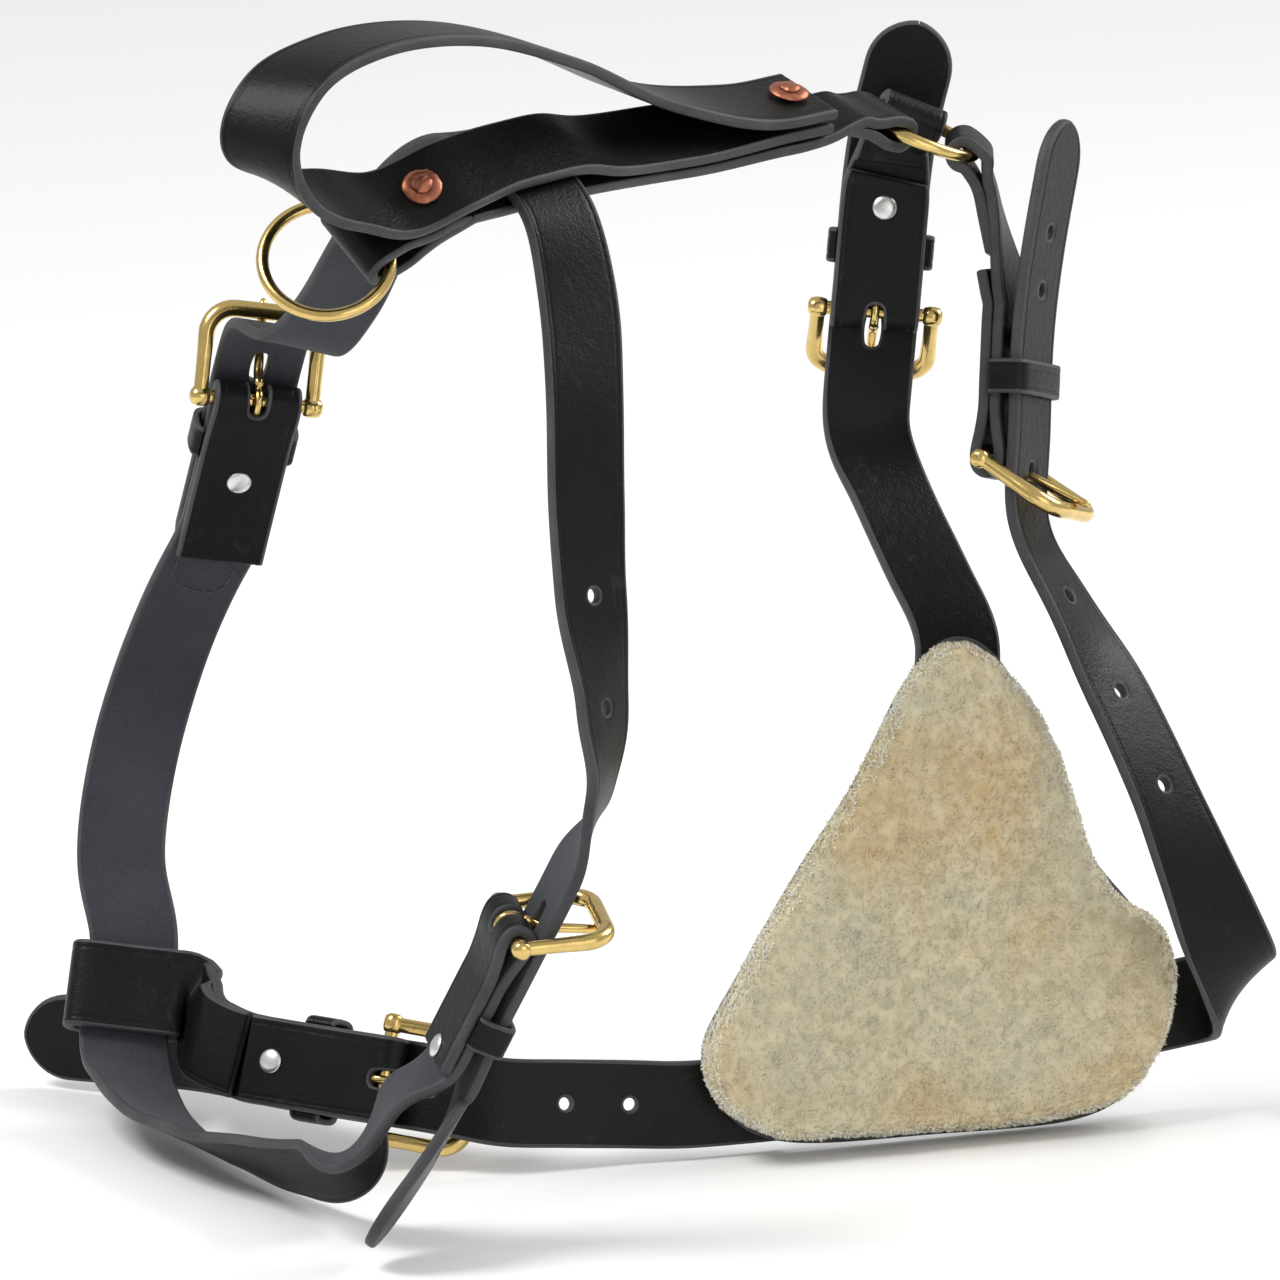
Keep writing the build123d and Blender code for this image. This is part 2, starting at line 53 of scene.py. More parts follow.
# All lengths below are millimetres, in the straps' own axes: +X the way the dog faces, +Y its left, +Z up.
MM = 0.001
MIDDLE = np.array([18.7, 48.6, -0.95])  # middle of the footprint, on the table

STRAP_W = 25.4
THICK = 3.3  # a strap's leather as drawn, which leaves a hair between layers
LEATHER = 3.5  # and as packed
LAYER = 3.8  # from one layer of a stack to the next
GAP = 0.3  # between parts that lie over each other
PLATE_LEATHER = 3.8
RING_R = 18.2
RING_WIRE = 1.8
EYE_R = 2.06  # inside a strap's fold round a bar
FOLD_R = EYE_R + LEATHER
BILLET_Y = FOLD_R + GAP + LEATHER / 2  # middle of the free strap that lies over a buckle's folded end
CHAPE = 45.0  # doubled leather behind a buckle
KEEPER_W = 10.0


def vec(*xyz):
    return np.array(xyz, float)


def unit(v):
    v = np.asarray(v, float)
    return v / np.linalg.norm(v)


def turned(degrees):
    """Cosine and sine."""
    return math.cos(math.radians(degrees)), math.sin(math.radians(degrees))


# ---- materials ----


def feed(socket, value):
    """Gives an input a value, or links it to another node's output."""
    if isinstance(value, bpy.types.NodeSocket):
        socket.id_data.links.new(value, socket)
    else:
        socket.default_value = value


def settle(node, **values):
    """Feeds a node's inputs by name, with _ for a space."""
    for name, value in values.items():
        feed(node.inputs[name.replace("_", " ")], value)


def new_material(name):
    """A material, its shader, and the object's own coordinates in it."""
    material = bpy.data.materials.new(name)
    material.use_nodes = True
    tree = material.node_tree
    tree.nodes.clear()
    out = tree.nodes.new("ShaderNodeOutputMaterial")
    shader = tree.nodes.new("ShaderNodeBsdfPrincipled")
    settle(out, Surface=shader.outputs[0])
    return material, shader, tree.nodes.new("ShaderNodeTexCoord").outputs["Object"]


def beside(socket, kind, **values):
    """A new node in a socket's tree."""
    node = socket.id_data.nodes.new("ShaderNode" + kind)
    settle(node, **values)
    return node


def noise(where, scale, detail=3.0, rough=0.55, distort=0.0):
    return beside(where, "TexNoise", Vector=where, Scale=scale, Detail=detail, Roughness=rough,
                  Distortion=distort).outputs["Fac"]


def cells(where, scale):
    node = beside(where, "TexVoronoi")
    node.feature = "SMOOTH_F1"
    settle(node, Vector=where, Scale=scale)
    return node.outputs["Distance"]


def ramp(value, *stops):
    """A colour or a number for each value, through the stops (value, colour or number)."""
    node = beside(value, "ValToRGB", Fac=value)
    bar = node.color_ramp
    while len(bar.elements) < len(stops):
        bar.elements.new(0.5)
    for element, (at, colour) in zip(bar.elements, stops):
        element.position = at
        element.color = (*colour, 1) if isinstance(colour, tuple) else (colour, colour, colour, 1)
    return node.outputs["Color"]


def add(a, b, share):
    """a + b * share, on numbers."""
    node = beside(a, "Math")
    node.operation = "MULTIPLY_ADD"
    for socket, value in zip(node.inputs, (b, share, a)):
        feed(socket, value)
    return node.outputs[0]


def mix(value, a, b):
    """a where value is 0, b where it is 1; each may be a socket or a colour."""
    node = beside(value, "Mix")
    node.data_type = "RGBA"
    for index, given in ((0, value), (6, a), (7, b)):
        feed(node.inputs[index], (*given, 1) if isinstance(given, tuple) else given)
    return node.outputs[2]


def bump(height, depth, shader, before=None):
    """Bump of that depth in metres."""
    node = beside(height, "Bump", Strength=1.0, Distance=depth, Height=height)
    if before is not None:
        settle(node, Normal=before)
    settle(shader, Normal=node.outputs[0])
    return node.outputs[0]


def grain_leather():
    """The smooth waxed outer face: fine pebble, faint scuffs, and a dull wax bloom."""
    material, shader, where = new_material("black_grain_leather")
    cloud = noise(where, 28, 4)
    colour = ramp(cloud, (0.3, (0.0034, 0.0038, 0.0038)), (0.7, (0.0072, 0.0078, 0.0066)))
    drawn_out = beside(where, "Mapping", Vector=where, Scale=(1, 1, 0.5)).outputs["Vector"]
    scuff = ramp(noise(drawn_out, 160, 6, 0.7, 1.2), (0.60, 0.0), (0.78, 1.0))
    colour = mix(scuff, colour, (0.026, 0.026, 0.023))
    settle(shader, Base_Color=colour, Roughness=ramp(add(cloud, scuff, 0.35), (0.25, 0.33), (0.95, 0.52)))
    first = bump(cells(where, 1500), 0.00009, shader)
    bump(noise(where, 420, 5, 0.6), 0.00022, shader, first)
    settle(shader, Specular_IOR_Level=0.12, Coat_Weight=0.07, Coat_Roughness=0.24)
    return material


def flesh_leather():
    """The unfinished inner face: short blue-grey nap with fibres running every way."""
    material, shader, where = new_material("blue_grey_flesh_side")
    cloud = noise(where, 45, 5, 0.65)
    nap = noise(where, 2600, 4, 0.7)
    colour = ramp(cloud, (0.25, (0.020, 0.0220, 0.029)), (0.75, (0.037, 0.0395, 0.049)))
    colour = mix(ramp(nap, (0.35, 0.0), (0.75, 0.55)), colour, (0.080, 0.082, 0.095))
    settle(shader, Base_Color=colour)
    first = bump(nap, 0.00016, shader)
    bump(noise(where, 620, 6, 0.7, 0.6), 0.00035, shader, first)
    settle(shader, Roughness=0.88, Sheen_Weight=0.12, Sheen_Roughness=0.45, Specular_IOR_Level=0.25)
    return material


def edge_leather():
    """A cut edge, rubbed with wax: layered fibres show as fine lines along it."""
    material, shader, where = new_material("burnished_leather_edge")
    fibres = noise(where, 1300, 5, 0.7)
    cloud = noise(where, 60, 4)
    colour = ramp(add(cloud, fibres, 0.5),
                  (0.45, (0.015, 0.0160, 0.019)), (1.0, (0.052, 0.0530, 0.058)))
    settle(shader, Base_Color=colour)
    bump(fibres, 0.00025, shader)
    settle(shader, Roughness=0.5, Specular_IOR_Level=0.45)
    return material


def metal(name, colour, dark, rough, dents=0.00002, tarnish=0.5):
    material, shader, where = new_material(name)
    cloud = noise(where, 190, 5, 0.6)
    fine = noise(where, 2400, 3)
    patina = ramp(cloud, (0.35, 0.0), (0.8, tarnish))
    low, high = rough
    settle(shader, Metallic=1.0, Base_Color=mix(patina, colour, dark),
           Roughness=ramp(add(cloud, fine, 0.3), (0.35, low), (0.95, high)))
    first = bump(fine, dents * 0.5, shader)
    bump(noise(where, 420, 3), dents * 2.2, shader, first)
    return material


def thread():
    material, shader, where = new_material("waxed_thread")
    twist = noise(where, 2600, 2)
    settle(shader, Base_Color=ramp(twist, (0.3, (0.020, 0.020, 0.024)), (0.8, (0.070, 0.070, 0.078))), Roughness=0.55)
    bump(twist, 0.00015, shader)
    return material


def fleece_material(name, light, warm, cool):
    """Sheared sheepskin: cream pile, warmer in the middle, with cool and brown patches, and painted shade where the
    fine lock bump is low.
    """
    material, shader, where = new_material(name)
    broad = noise(where, 16, 3, 0.5)
    patch = noise(where, 46, 4, 0.6)
    lock = noise(where, 900, 3, 0.6)
    colour = mix(ramp(broad, (0.42, 0.0), (0.60, 1.0)), warm, cool)
    colour = mix(ramp(patch, (0.45, 0.0), (0.75, 0.7)), colour, light)
    clump = noise(where, 210, 2, 0.5)
    colour = mix(ramp(clump, (0.42, 0.0), (0.66, 0.45)), colour, tuple(1.12 * c for c in light))
    # Painted shade: the colour darkens a little where the fine lock bump is low, in the hollows between the locks.
    colour = mix(ramp(lock, (0.35, 0.08), (0.60, 0.0)), colour, tuple(0.8 * c for c in warm))
    settle(shader, Base_Color=colour)
    bump(lock, 0.00012, shader)
    settle(shader, Roughness=0.92, Sheen_Weight=0.3, Sheen_Roughness=0.6, Subsurface_Weight=0.5,
           Subsurface_Radius=(1.0, 0.8, 0.55), Subsurface_Scale=0.004, Specular_IOR_Level=0.2)
    return material


GRAIN = grain_leather()
FLESH = flesh_leather()
EDGE = edge_leather()
THREAD = thread()
BRASS = metal("polished_brass", (0.74, 0.54, 0.20), (0.34, 0.23, 0.07), (0.10, 0.30))
COPPER = metal("oxidised_copper", (0.56, 0.21, 0.12), (0.10, 0.035, 0.025), (0.30, 0.55), 0.00005, 0.9)
STEEL = metal("nickel_rivet", (0.78, 0.78, 0.77), (0.45, 0.45, 0.44), (0.22, 0.42))
PILE = fleece_material("sheepskin_pile", (0.66, 0.590, 0.415), (0.580, 0.445, 0.235), (0.560, 0.520, 0.365))
FIBRE = fleece_material("sheepskin_fibre", (0.76, 0.680, 0.495), (0.660, 0.520, 0.300), (0.640, 0.600, 0.440))
# A near-white copy of the fleece for the locks on the pile's edge: painted light, standing in for the light that the
# edge fuzz catches.
PAINTED_RIM_LIGHT = fleece_material("sheepskin_painted_rim_light", (0.90, 0.870, 0.740), (0.86, 0.800, 0.630), (0.85, 0.825, 0.700))

# ---- meshes ----


def world(points):
    return (np.asarray(points, float) - MIDDLE) * MM


def new_object(name, data):
    made = bpy.data.objects.new(name, data)
    scene.collection.objects.link(made)
    return made


def mesh_object(name, points, faces, body, materials, kinds=None):
    """A piece from points in the straps' axes, which rides on a body. kinds says which material each face has."""
    mesh = bpy.data.meshes.new(name)
    mesh.from_pydata(world(points).tolist(), [], faces)
    for material in materials:
        mesh.materials.append(material)
    if kinds is not None:
        mesh.polygons.foreach_set("material_index", np.asarray(kinds, np.int32))
    mesh.polygons.foreach_set("use_smooth", np.ones(len(mesh.polygons), bool))
    shape = bmesh.new()
    shape.from_mesh(mesh)
    bmesh.ops.remove_doubles(shape, verts=shape.verts, dist=1e-7)
    bmesh.ops.recalc_face_normals(shape, faces=shape.faces)
    shape.to_mesh(mesh)
    shape.free()
    mesh.update()
    piece = new_object(name, mesh)
    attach(piece, body)
    return piece


# ---- places ----


class Seat:
    """A place with its own axes: x out of a folded end, y out from the dog, z along the bar or wire."""

    def __init__(self, origin, x, z):
        self.origin = np.array(origin, float)
        self.x = unit(x)
        z = np.array(z, float)
        self.z = unit(z - self.x * z.dot(self.x))
        self.y = np.cross(self.z, self.x)
        self.axes = np.stack([self.x, self.y, self.z])

    def on(self, x, y, z=0.0):
        return self.origin + self.x * x + self.y * y + self.z * z

    def put(self, points):
        return self.origin + points @ self.axes


def ring_seat(centre, normal, outward, turn=0.0):
    out = unit(outward - normal * normal.dot(outward))
    z = np.cross(out, normal)
    y = np.cross(z, -out)
    c, s = turned(turn)
    return Seat(centre + out * RING_R, -out * c + y * s, z)


girth_near = Seat((-85, -35, 96), (0.28, -0.34, 0.90), (0.5, 0.86, 0.05))
girth_far = Seat((-30, 127, 209), (-0.07, -0.37, 0.93), (-0.82, 0.55, 0.15))
belly = Seat((-46, 58, 24.5), (0.25, -0.97, 0.0), (0.33, 0.085, 0.94))
neck_left = Seat((131.5, 39, 223), (-0.22, -0.10, -0.97), (0.70, -0.69, -0.09))
neck_right = Seat((129, -16, 189), (-0.25, -0.20, -0.95), (-0.90, -0.36, 0.25))
SEATS = {  # place, tilt of the frame, keeper, rivet
    "girth_near": (girth_near, 62, -29, -41),
    "girth_far": (girth_far, 36, -16, -26),
    "belly": (belly, 34, -24, -36),
    "neck_left": (neck_left, 48, -18, -30),
    "neck_right": (neck_right, 58, -24, -36),
}
front_normal = unit((0.315, -0.233, 0.912))
front_centre = vec(129, 20, 281)
rear_normal = unit((-0.487, -0.502, 0.706))
rear_centre = vec(-98.5, 25.6, 282)
TURN_LEFT = -60
TURN_RIGHT = -50
ring_left = ring_seat(front_centre, front_normal, (0.633, 0.764, -0.023), TURN_LEFT)
ring_right = ring_seat(front_centre, front_normal, (0.649, -0.657, -0.385), TURN_RIGHT)
ring_back = ring_seat(front_centre, front_normal, (-0.95, -0.077, 0.303))
ring_rear = ring_seat(rear_centre, rear_normal, (0.875, -0.28, 0.394))
EYE_LONG = 3.2
SHARE = 19.0 / STRAP_W
RING_EYE = RING_WIRE + 0.35
REAR_EYE = RING_WIRE + 1.5
plate = Seat((52, -22.5, 0.8), (0.914, -0.406, 0), (-0.404, -0.909, 0.0916))
BACK = -8 - LEATHER / 2 - 0.15
loop_x = unit((0.66, -0.74, -0.10))
loop = Seat((-61, 148, 36), loop_x, (0.35, 0.30, 0.89))
LOOP_HALF = STRAP_W / 2 + 1.6

# ---- straps ----
# A route is a list of (place, across, width share). A strap is cut flat, with its holes, then bent along its route.


def item(place, across, share=1.0):
    return (np.array(place, float), unit(across), share)


def fold(seat, out, back=None, eye_r=EYE_R, eye_long=0.0, turn=0.0, share=1.0, over=1, side=1, last=False):
    """A strap's end round a bar or wire: the return layer of length back, the bend, and the outer layer.

    over is the side, along the seat's y, where the outer layer lies. A strap's last end runs the other way."""
    back = out if back is None else back
    radius = eye_r + THICK / 2
    lay = LEATHER / 2
    taper = min(15.0, min(out, back) * 0.7)
    c, s = turned(turn)
    away = vec(c, s * over)
    aside = vec(-away[1], away[0])
    neck = [(-taper, lay), (-taper * 0.55, lay + (radius - lay) * 0.42), (-taper * 0.2, radius * 0.97)]
    flat = [(x, -lay) for x in np.arange(-back, -taper - 2, 6.0)] + [(x, -y) for x, y in neck]
    bent = [away * (eye_long + radius * math.cos(a)) + aside * radius * math.sin(a)
            for a in np.radians(np.arange(-90, 91, 18))]
    after = neck[::-1] + [(x, lay) for x in np.arange(-out, -taper - 2, 6.0)[::-1]]
    across = seat.z * (over * side * (-1 if last else 1))
    found = [item(seat.on(x, y * over), across, share) for x, y in [*flat, *bent, *after]]
    return found[::-1] if last else found


LINE_STEP = 0.8  # between the points of a strap's middle line
KEEP_R, KEEP_FADE = 16, 14  # the line isn't eased within KEEP_R of a kept seat, and is in full KEEP_FADE further out
ROW_TURN = 0.13  # how far a strap turns in one row of faces, in radians
ROW_LEAST, ROW_MOST = 0.4, 1.3  # the length of a row


def run_length(points):
    """The length along a line at each of its points."""
    return np.concatenate([[0], np.cumsum(np.linalg.norm(np.diff(points, axis=0), axis=1))])


def sample(at, knots, rows):
    """Rows read off at places between their knots."""
    return np.stack([np.interp(at, knots, column) for column in rows.T], 1)


def blur(values, width):
    """A soft average along a line that keeps its ends."""
    reach = int(width * 2.5)
    if reach < 1:
        return values
    kernel = np.exp(-0.5 * (np.arange(-reach, reach + 1) / width) ** 2)
    kernel /= kernel.sum()
    padded = np.concatenate([2 * values[:1] - values[1:reach + 1][::-1], values,
                             2 * values[-1:] - values[-reach - 1:-1][::-1]])
    return np.stack([np.convolve(column, kernel, "valid") for column in padded.T], 1)


def dense(route, soft):
    """An even, smooth line through the route, as arrays of length, place, across and share."""
    places, across, share = (np.array(column) for column in zip(*(item(*stop) for stop in route)))
    stops = np.column_stack([places, across, share])
    gaps = np.maximum(np.linalg.norm(np.diff(places, axis=0), axis=1), 1e-6)
    knots = np.concatenate([[0], np.cumsum(np.sqrt(gaps))])
    slopes = np.empty_like(places)
    for i in range(len(places)):
        a, b = max(i - 1, 0), min(i + 1, len(places) - 1)
        if i in (a, b):
            slopes[i] = (places[b] - places[a]) / (knots[b] - knots[a])
        else:
            left, right = knots[i] - knots[a], knots[b] - knots[i]
            before, after = (places[i] - places[a]) / left, (places[b] - places[i]) / right
            slopes[i] = (before * right + after * left) / (left + right)
    rows = []
    for i, (gap, span) in enumerate(zip(gaps, np.diff(knots))):
        count = max(2, int(gap / (LINE_STEP / 2)))
        for t in np.arange(count) / count:
            t2, t3 = t * t, t * t * t
            ease = t2 * (3 - 2 * t)
            row = stops[i] * (1 - ease) + stops[i + 1] * ease
            row[:3] = ((2 * t3 - 3 * t2 + 1) * places[i] + (t3 - 2 * t2 + t) * span * slopes[i]
                       + (3 * t2 - 2 * t3) * places[i + 1] + (t3 - t2) * span * slopes[i + 1])
            rows.append(row)
    rows = np.array(rows + [stops[-1]])
    length = run_length(rows[:, :3])
    even = np.linspace(0, length[-1], int(length[-1] / LINE_STEP) + 1)
    rows = sample(even, length, rows)
    turned = blur(rows[:, 3:], soft / LINE_STEP)
    return even, rows[:, :3], turned[:, :3], turned[:, 3]


class Bend:
    """Takes a point of the flat strap (length, across, height) to its place on the bent one."""

    def __init__(self, route, side=1, ease=5.0, keep=(), soft=3.0):
        self.s, self.p, self.x, self.share = dense(route, soft)
        eased = blur(self.p, ease / LINE_STEP)
        weight = np.ones(len(self.p))
        for seat in keep:
            away = np.linalg.norm(self.p - seat.origin, axis=1)
            weight = np.minimum(weight, np.clip((away - KEEP_R) / KEEP_FADE, 0, 1))
        self.p = self.p + (eased - self.p) * weight[:, None]
        along = np.gradient(self.p, axis=0)
        self.t = along / np.linalg.norm(along, axis=1)[:, None]
        x = self.x - self.t * (self.x * self.t).sum(1)[:, None]
        self.x = x / np.linalg.norm(x, axis=1)[:, None]
        self.n = side * np.cross(self.t, self.x)
        self.long = self.s[-1]
        turned = np.linalg.norm(np.gradient(self.t, axis=0), axis=1) / LINE_STEP
        pace = np.clip(ROW_TURN / np.maximum(turned, 1e-6), ROW_LEAST, ROW_MOST)
        self.rows = np.concatenate([[0], np.cumsum(0.5 * (1 / pace[1:] + 1 / pace[:-1]) * np.diff(self.s))])

    def near(self, place):
        """The length along the strap of the point nearest to a place."""
        return self.s[np.argmin(np.linalg.norm(self.p - np.asarray(place), axis=1))]

    def put(self, points):
        points = np.asarray(points, float)
        s = np.clip(points[:, 0], 0, self.long)
        place, along, across, up = (sample(s, self.s, values) for values in (self.p, self.t, self.x, self.n))
        return place + (points[:, 0] - s)[:, None] * along + across * points[:, 1:2] + up * points[:, 2:3]

    def width(self, s):
        return np.interp(s, self.s, self.share)

    def spread(self, first, last):
        """Rows of faces from first to last, closer together where the strap bends."""
        a, b = np.interp([first, last], self.s, self.rows)
        return np.interp(np.linspace(a, b, max(3, int(b - a) + 1)), self.rows, self.s)


ROUND = 1.1  # how far the rubbed edge is rounded
SIDE_ANGLES = (25, 55, 90, 125, 155)
CREASE_IN = 2.45  # from the edge to the creased line
UNEVEN = 0.11  # how far a cut edge strays
HOLE_RIM = ((0.75, 1.0), (0.28, 0.95), (0.0, 0.72), (-0.04, 0.0), (0.0, -0.72), (0.28, -0.95), (0.75, -1.0))
BLACK_BOTH = [GRAIN, GRAIN, EDGE]
WAXED = [GRAIN, FLESH, EDGE]


def columns(width):
    """Places across a strap's face, closer at the rubbed edges and at the creased line along each edge."""
    half = width / 2
    edge = [half - ROUND, half - ROUND - 0.5, half - 2.05, half - CREASE_IN, half - 2.85]
    flat_half = half - 3.4
    count = max(2, round(flat_half / 1.55))
    right = edge + [flat_half * k / count for k in range(count, 0, -1)]
    return np.array([-v for v in right] + [0.0] + right[::-1])


def strap(name, node, bend, body="harness", width=STRAP_W, thick=THICK, point_start=0.0,
          point_end=0.0, holes=(), materials=BLACK_BOTH, crease=0.16, thin=None):
    """Cuts a flat strap with holes (s, v, half length, half width), rounds its edges, and bends it."""
    v = columns(width)
    m, k = len(v), len(SIDE_ANGLES)
    first, last = point_start, bend.long - point_end
    body_rows = bend.spread(first, last)
    tip = [(u, max((1 - u ** 2.3) ** 0.60, 0.012)) for u in np.sin(np.linspace(0, math.pi / 2, 15))[1:]]
    # Each row: length, share of the width, pull of a rounded tip, share of the thickness.
    if point_start:
        rows = [(first - u * point_start, shape, u, 1.0) for u, shape in tip[::-1]]
    else:
        rows = [(0.0, 1.0, 0.0, 0.45), (0.18, 1.0, 0.0, 0.82), (0.6, 1.0, 0.0, 1.0)]
        body_rows = body_rows[1:]
    rows += [(s, 1.0, 0.0, 1.0) for s in body_rows[:-1]]
    if point_end:
        rows += [(last, 1.0, 0.0, 1.0)] + [(last + u * point_end, shape, -u, 1.0) for u, shape in tip]
    else:
        rows += [(last - 0.6, 1.0, 0.0, 1.0), (last - 0.18, 1.0, 0.0, 0.82), (last, 1.0, 0.0, 0.45)]
    lengths, taper, inset, squeeze = np.array(rows).T
    n = len(lengths)
    share = bend.width(lengths) * taper
    wave = blur(rng.normal(0, 1, (n, 2)), 7)[:, :1] * UNEVEN
    heights = thick / 2 * squeeze
    if thin is not None:
        heights = heights * np.array([thin(s) for s in lengths])

    top = np.empty((n, m, 3))
    top[:, :, 0] = (lengths + inset * ROUND)[:, None]
    top[:, :, 1] = v * share[:, None] + wave * np.abs(v) / (width / 2)
    top[:, :, 2] = heights[:, None]
    blocks = [top, top * vec(1, 1, -1)]
    groove = np.isclose(np.abs(v), width / 2 - CREASE_IN, atol=1e-3)
    top[:, groove, 2] -= crease * (taper > 0.5)[:, None]
    for sign, column in ((-1, 0), (1, m - 1)):
        block = np.empty((n, k, 3))
        for j, angle in enumerate(np.radians(SIDE_ANGLES)):
            reach = ROUND * math.sin(angle) ** 0.8
            block[:, j, 0] = lengths + inset * (ROUND - reach)
            block[:, j, 1] = top[:, column, 1] + sign * reach * np.minimum(share, 1)
            block[:, j, 2] = heights * math.copysign(abs(math.cos(angle)) ** 0.7, math.cos(angle))
        blocks.append(block)
    points = np.concatenate([block.reshape(-1, 3) for block in blocks])
    low_at = n * m
    sides = ((2 * n * m, 0, True), (2 * n * m + n * k, m - 1, False))  # first point, column, flipped

    cut = np.zeros((n - 1, m - 1), bool)
    rims, extra = [], []
    for hole_s, hole_v, half_long, half_wide in holes:
        i0 = int(np.searchsorted(lengths, hole_s - half_long - 0.9)) - 1
        i1 = int(np.searchsorted(lengths, hole_s + half_long + 0.9))
        j0 = int(np.searchsorted(v, hole_v - half_wide - 0.7)) - 1
        j1 = int(np.searchsorted(v, hole_v + half_wide + 0.7))
        cut[i0:i1, j0:j1] = True
        border = [(i0, j) for j in range(j0, j1)] + [(i, j1) for i in range(i0, i1)]
        border += [(i1, j) for j in range(j1, j0, -1)] + [(i, j0) for i in range(i1, i0, -1)]
        radius = min(half_long, half_wide)
        rims.append((border, [len(points) + len(extra) + r * len(border) for r in range(len(HOLE_RIM))]))
        for grow, up in HOLE_RIM:
            for i, j in border:
                angle = math.atan2((v[j] - hole_v) / half_wide, (lengths[i] - hole_s) / half_long)
                s, across = ((half - radius) * math.copysign(min(1, abs(turn) * 1.6), turn) + (radius + grow) * turn
                             for half, turn in ((half_long, math.cos(angle)), (half_wide, math.sin(angle))))
                extra.append((hole_s + s, hole_v + across, up * heights[i] - (0.1 if up == 1.0 else 0)))
    if extra:
        points = np.concatenate([points, np.array(extra)])

    faces, kinds = [], []
    for i in range(n - 1):
        for j in range(m - 1):
            if not cut[i, j]:
                a = i * m + j
                faces.append((a, a + 1, a + m + 1, a + m))
                faces.append((low_at + a, low_at + a + m, low_at + a + m + 1, low_at + a + 1))
                kinds += [0, 1]
    for border, rings in rims:
        size = len(border)
        upper = [i * m + j for i, j in border]
        lower = [low_at + a for a in upper]
        loops = [upper] + [list(range(r, r + size)) for r in rings] + [lower]
        for a, b in zip(loops, loops[1:]):
            faces += [(a[q], b[q], b[(q + 1) % size], a[(q + 1) % size]) for q in range(size)]
            kinds += [0 if a is upper else 1 if b is lower else 2] * size

    def side_points(i, base, column):
        """One row of a side, from the top face over the rounded edge to the low face."""
        return i * m + column, *range(base + i * k, base + i * k + k), low_at + i * m + column

    for base, column, flip in sides:
        for i in range(n - 1):
            here, after = side_points(i, base, column), side_points(i + 1, base, column)
            for j in range(k + 1):
                quad = (here[j], here[j + 1], after[j + 1], after[j])
                faces.append(quad[::-1] if flip else quad)
    for i, flip in ((0, False), (n - 1, True)):
        for a in range(i * m, i * m + m - 1):
            quad = (a, low_at + a, low_at + a + 1, a + 1)
            faces.append(quad[::-1] if flip else quad)
        for base, column, turn in sides:
            edge = side_points(i, base, column)
            faces.append(edge[::-1] if turn != flip else edge)
    kinds += [2] * (len(faces) - len(kinds))
    piece = mesh_object(name, bend.put(points), faces, body, materials, kinds)
    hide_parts(node)


def tube_faces(rings, sides):
    """Faces between rings of points, each ring closed on itself."""
    return [(i * sides + j, i * sides + (j + 1) % sides, (i + 1) * sides + (j + 1) % sides, (i + 1) * sides + j)
            for i in range(rings - 1) for j in range(sides)]


def bar_rows(points, radii, sides):
    """A round bar along points, with a radius at each: points and faces."""
    points = np.asarray(points, float)
    n = len(points)
    along = np.gradient(points, axis=0)
    along /= np.linalg.norm(along, axis=1)[:, None]
    normal = np.cross(along[0], vec(0.31, 0.17, 0.93))
    found = []
    for i in range(n):
        normal = unit(normal - along[i] * normal.dot(along[i]))
        other = np.cross(along[i], normal)
        for a in np.arange(sides) / sides * 2 * math.pi:
            found.append(points[i] + radii[i] * (normal * math.cos(a) + other * math.sin(a)))
    ends = [tuple(range(sides))[::-1], tuple((n - 1) * sides + j for j in range(sides))]
    return np.array(found), tube_faces(n, sides) + ends


def join(*shapes):
    points, faces, total = [], [], 0
    for some, their in shapes:
        points.append(some)
        faces.extend(tuple(i + total for i in f) for f in their)
        total += len(some)
    return np.concatenate(points), faces


def lathe(profile, sides, rough=0.0):
    """Turns (radius, height) pairs about Y, with a hand-hammered unevenness."""
    points = []
    for r, y in profile:
        for a in np.arange(sides) / sides * 2 * math.pi:
            x, z = r * math.cos(a), r * math.sin(a)
            bent = rough * (wavy.noise(Vector((x, y, z)) * 0.7) if rough else 0)
            points.append((x * (1 + bent * 0.10), y + bent * 0.35, z * (1 + bent * 0.10)))
    n = len(profile)
    ends = [tuple(range(sides)), tuple((n - 1) * sides + j for j in range(sides))[::-1]]
    return np.array(points), tube_faces(n, sides) + ends


def billet(seat, sign, *places):
    """Stops of the free strap that lies over a buckle's folded end, each (x, how far it lifts)."""
    return [(seat.on(x, BILLET_Y + lift), seat.z * sign) for x, lift in places]


def run_on(route, length=15.0, first=False):
    """A route carried straight on past its end, for a strap's point."""
    route = [item(*stop) for stop in route]
    end, near = (route[0], route[1]) if first else (route[-1], route[-2])
    extra = item(end[0] + unit(end[0] - near[0]) * length, end[1])
    return [extra] + route if first else route + [extra]


# ---- back strap and handle ----

roll_rear = vec(0, -0.83, -0.56)
roll = vec(0, -0.88, -0.47)
roll_front = vec(0, -0.96, -0.26)


def above(place, across, lift, along=(1, 0, 0)):
    normal = unit(np.cross(across, vec(*along)))
    return np.array(place, float) + normal * (lift if normal[2] > 0 else -lift)


back_bend = Bend(
    fold(ring_rear, 18, 25, REAR_EYE, 5.6, over=-1, side=-1)
    + [((-52, 17, 296), roll), ((-32, 18, 296), roll), ((-10, 19, 295.5), roll),
       ((30, 20.5, 293), roll), ((70, 20.5, 290.5), roll_front), ((83, 19.6, 290.4), roll_front, 0.92)]
    + fold(ring_back, 15, 22, RING_EYE, EYE_LONG, share=SHARE, over=-1, side=-1, last=True),
    side=-1, keep=(ring_rear, ring_back))
strap("back_strap_leather", "back_strap", back_bend)

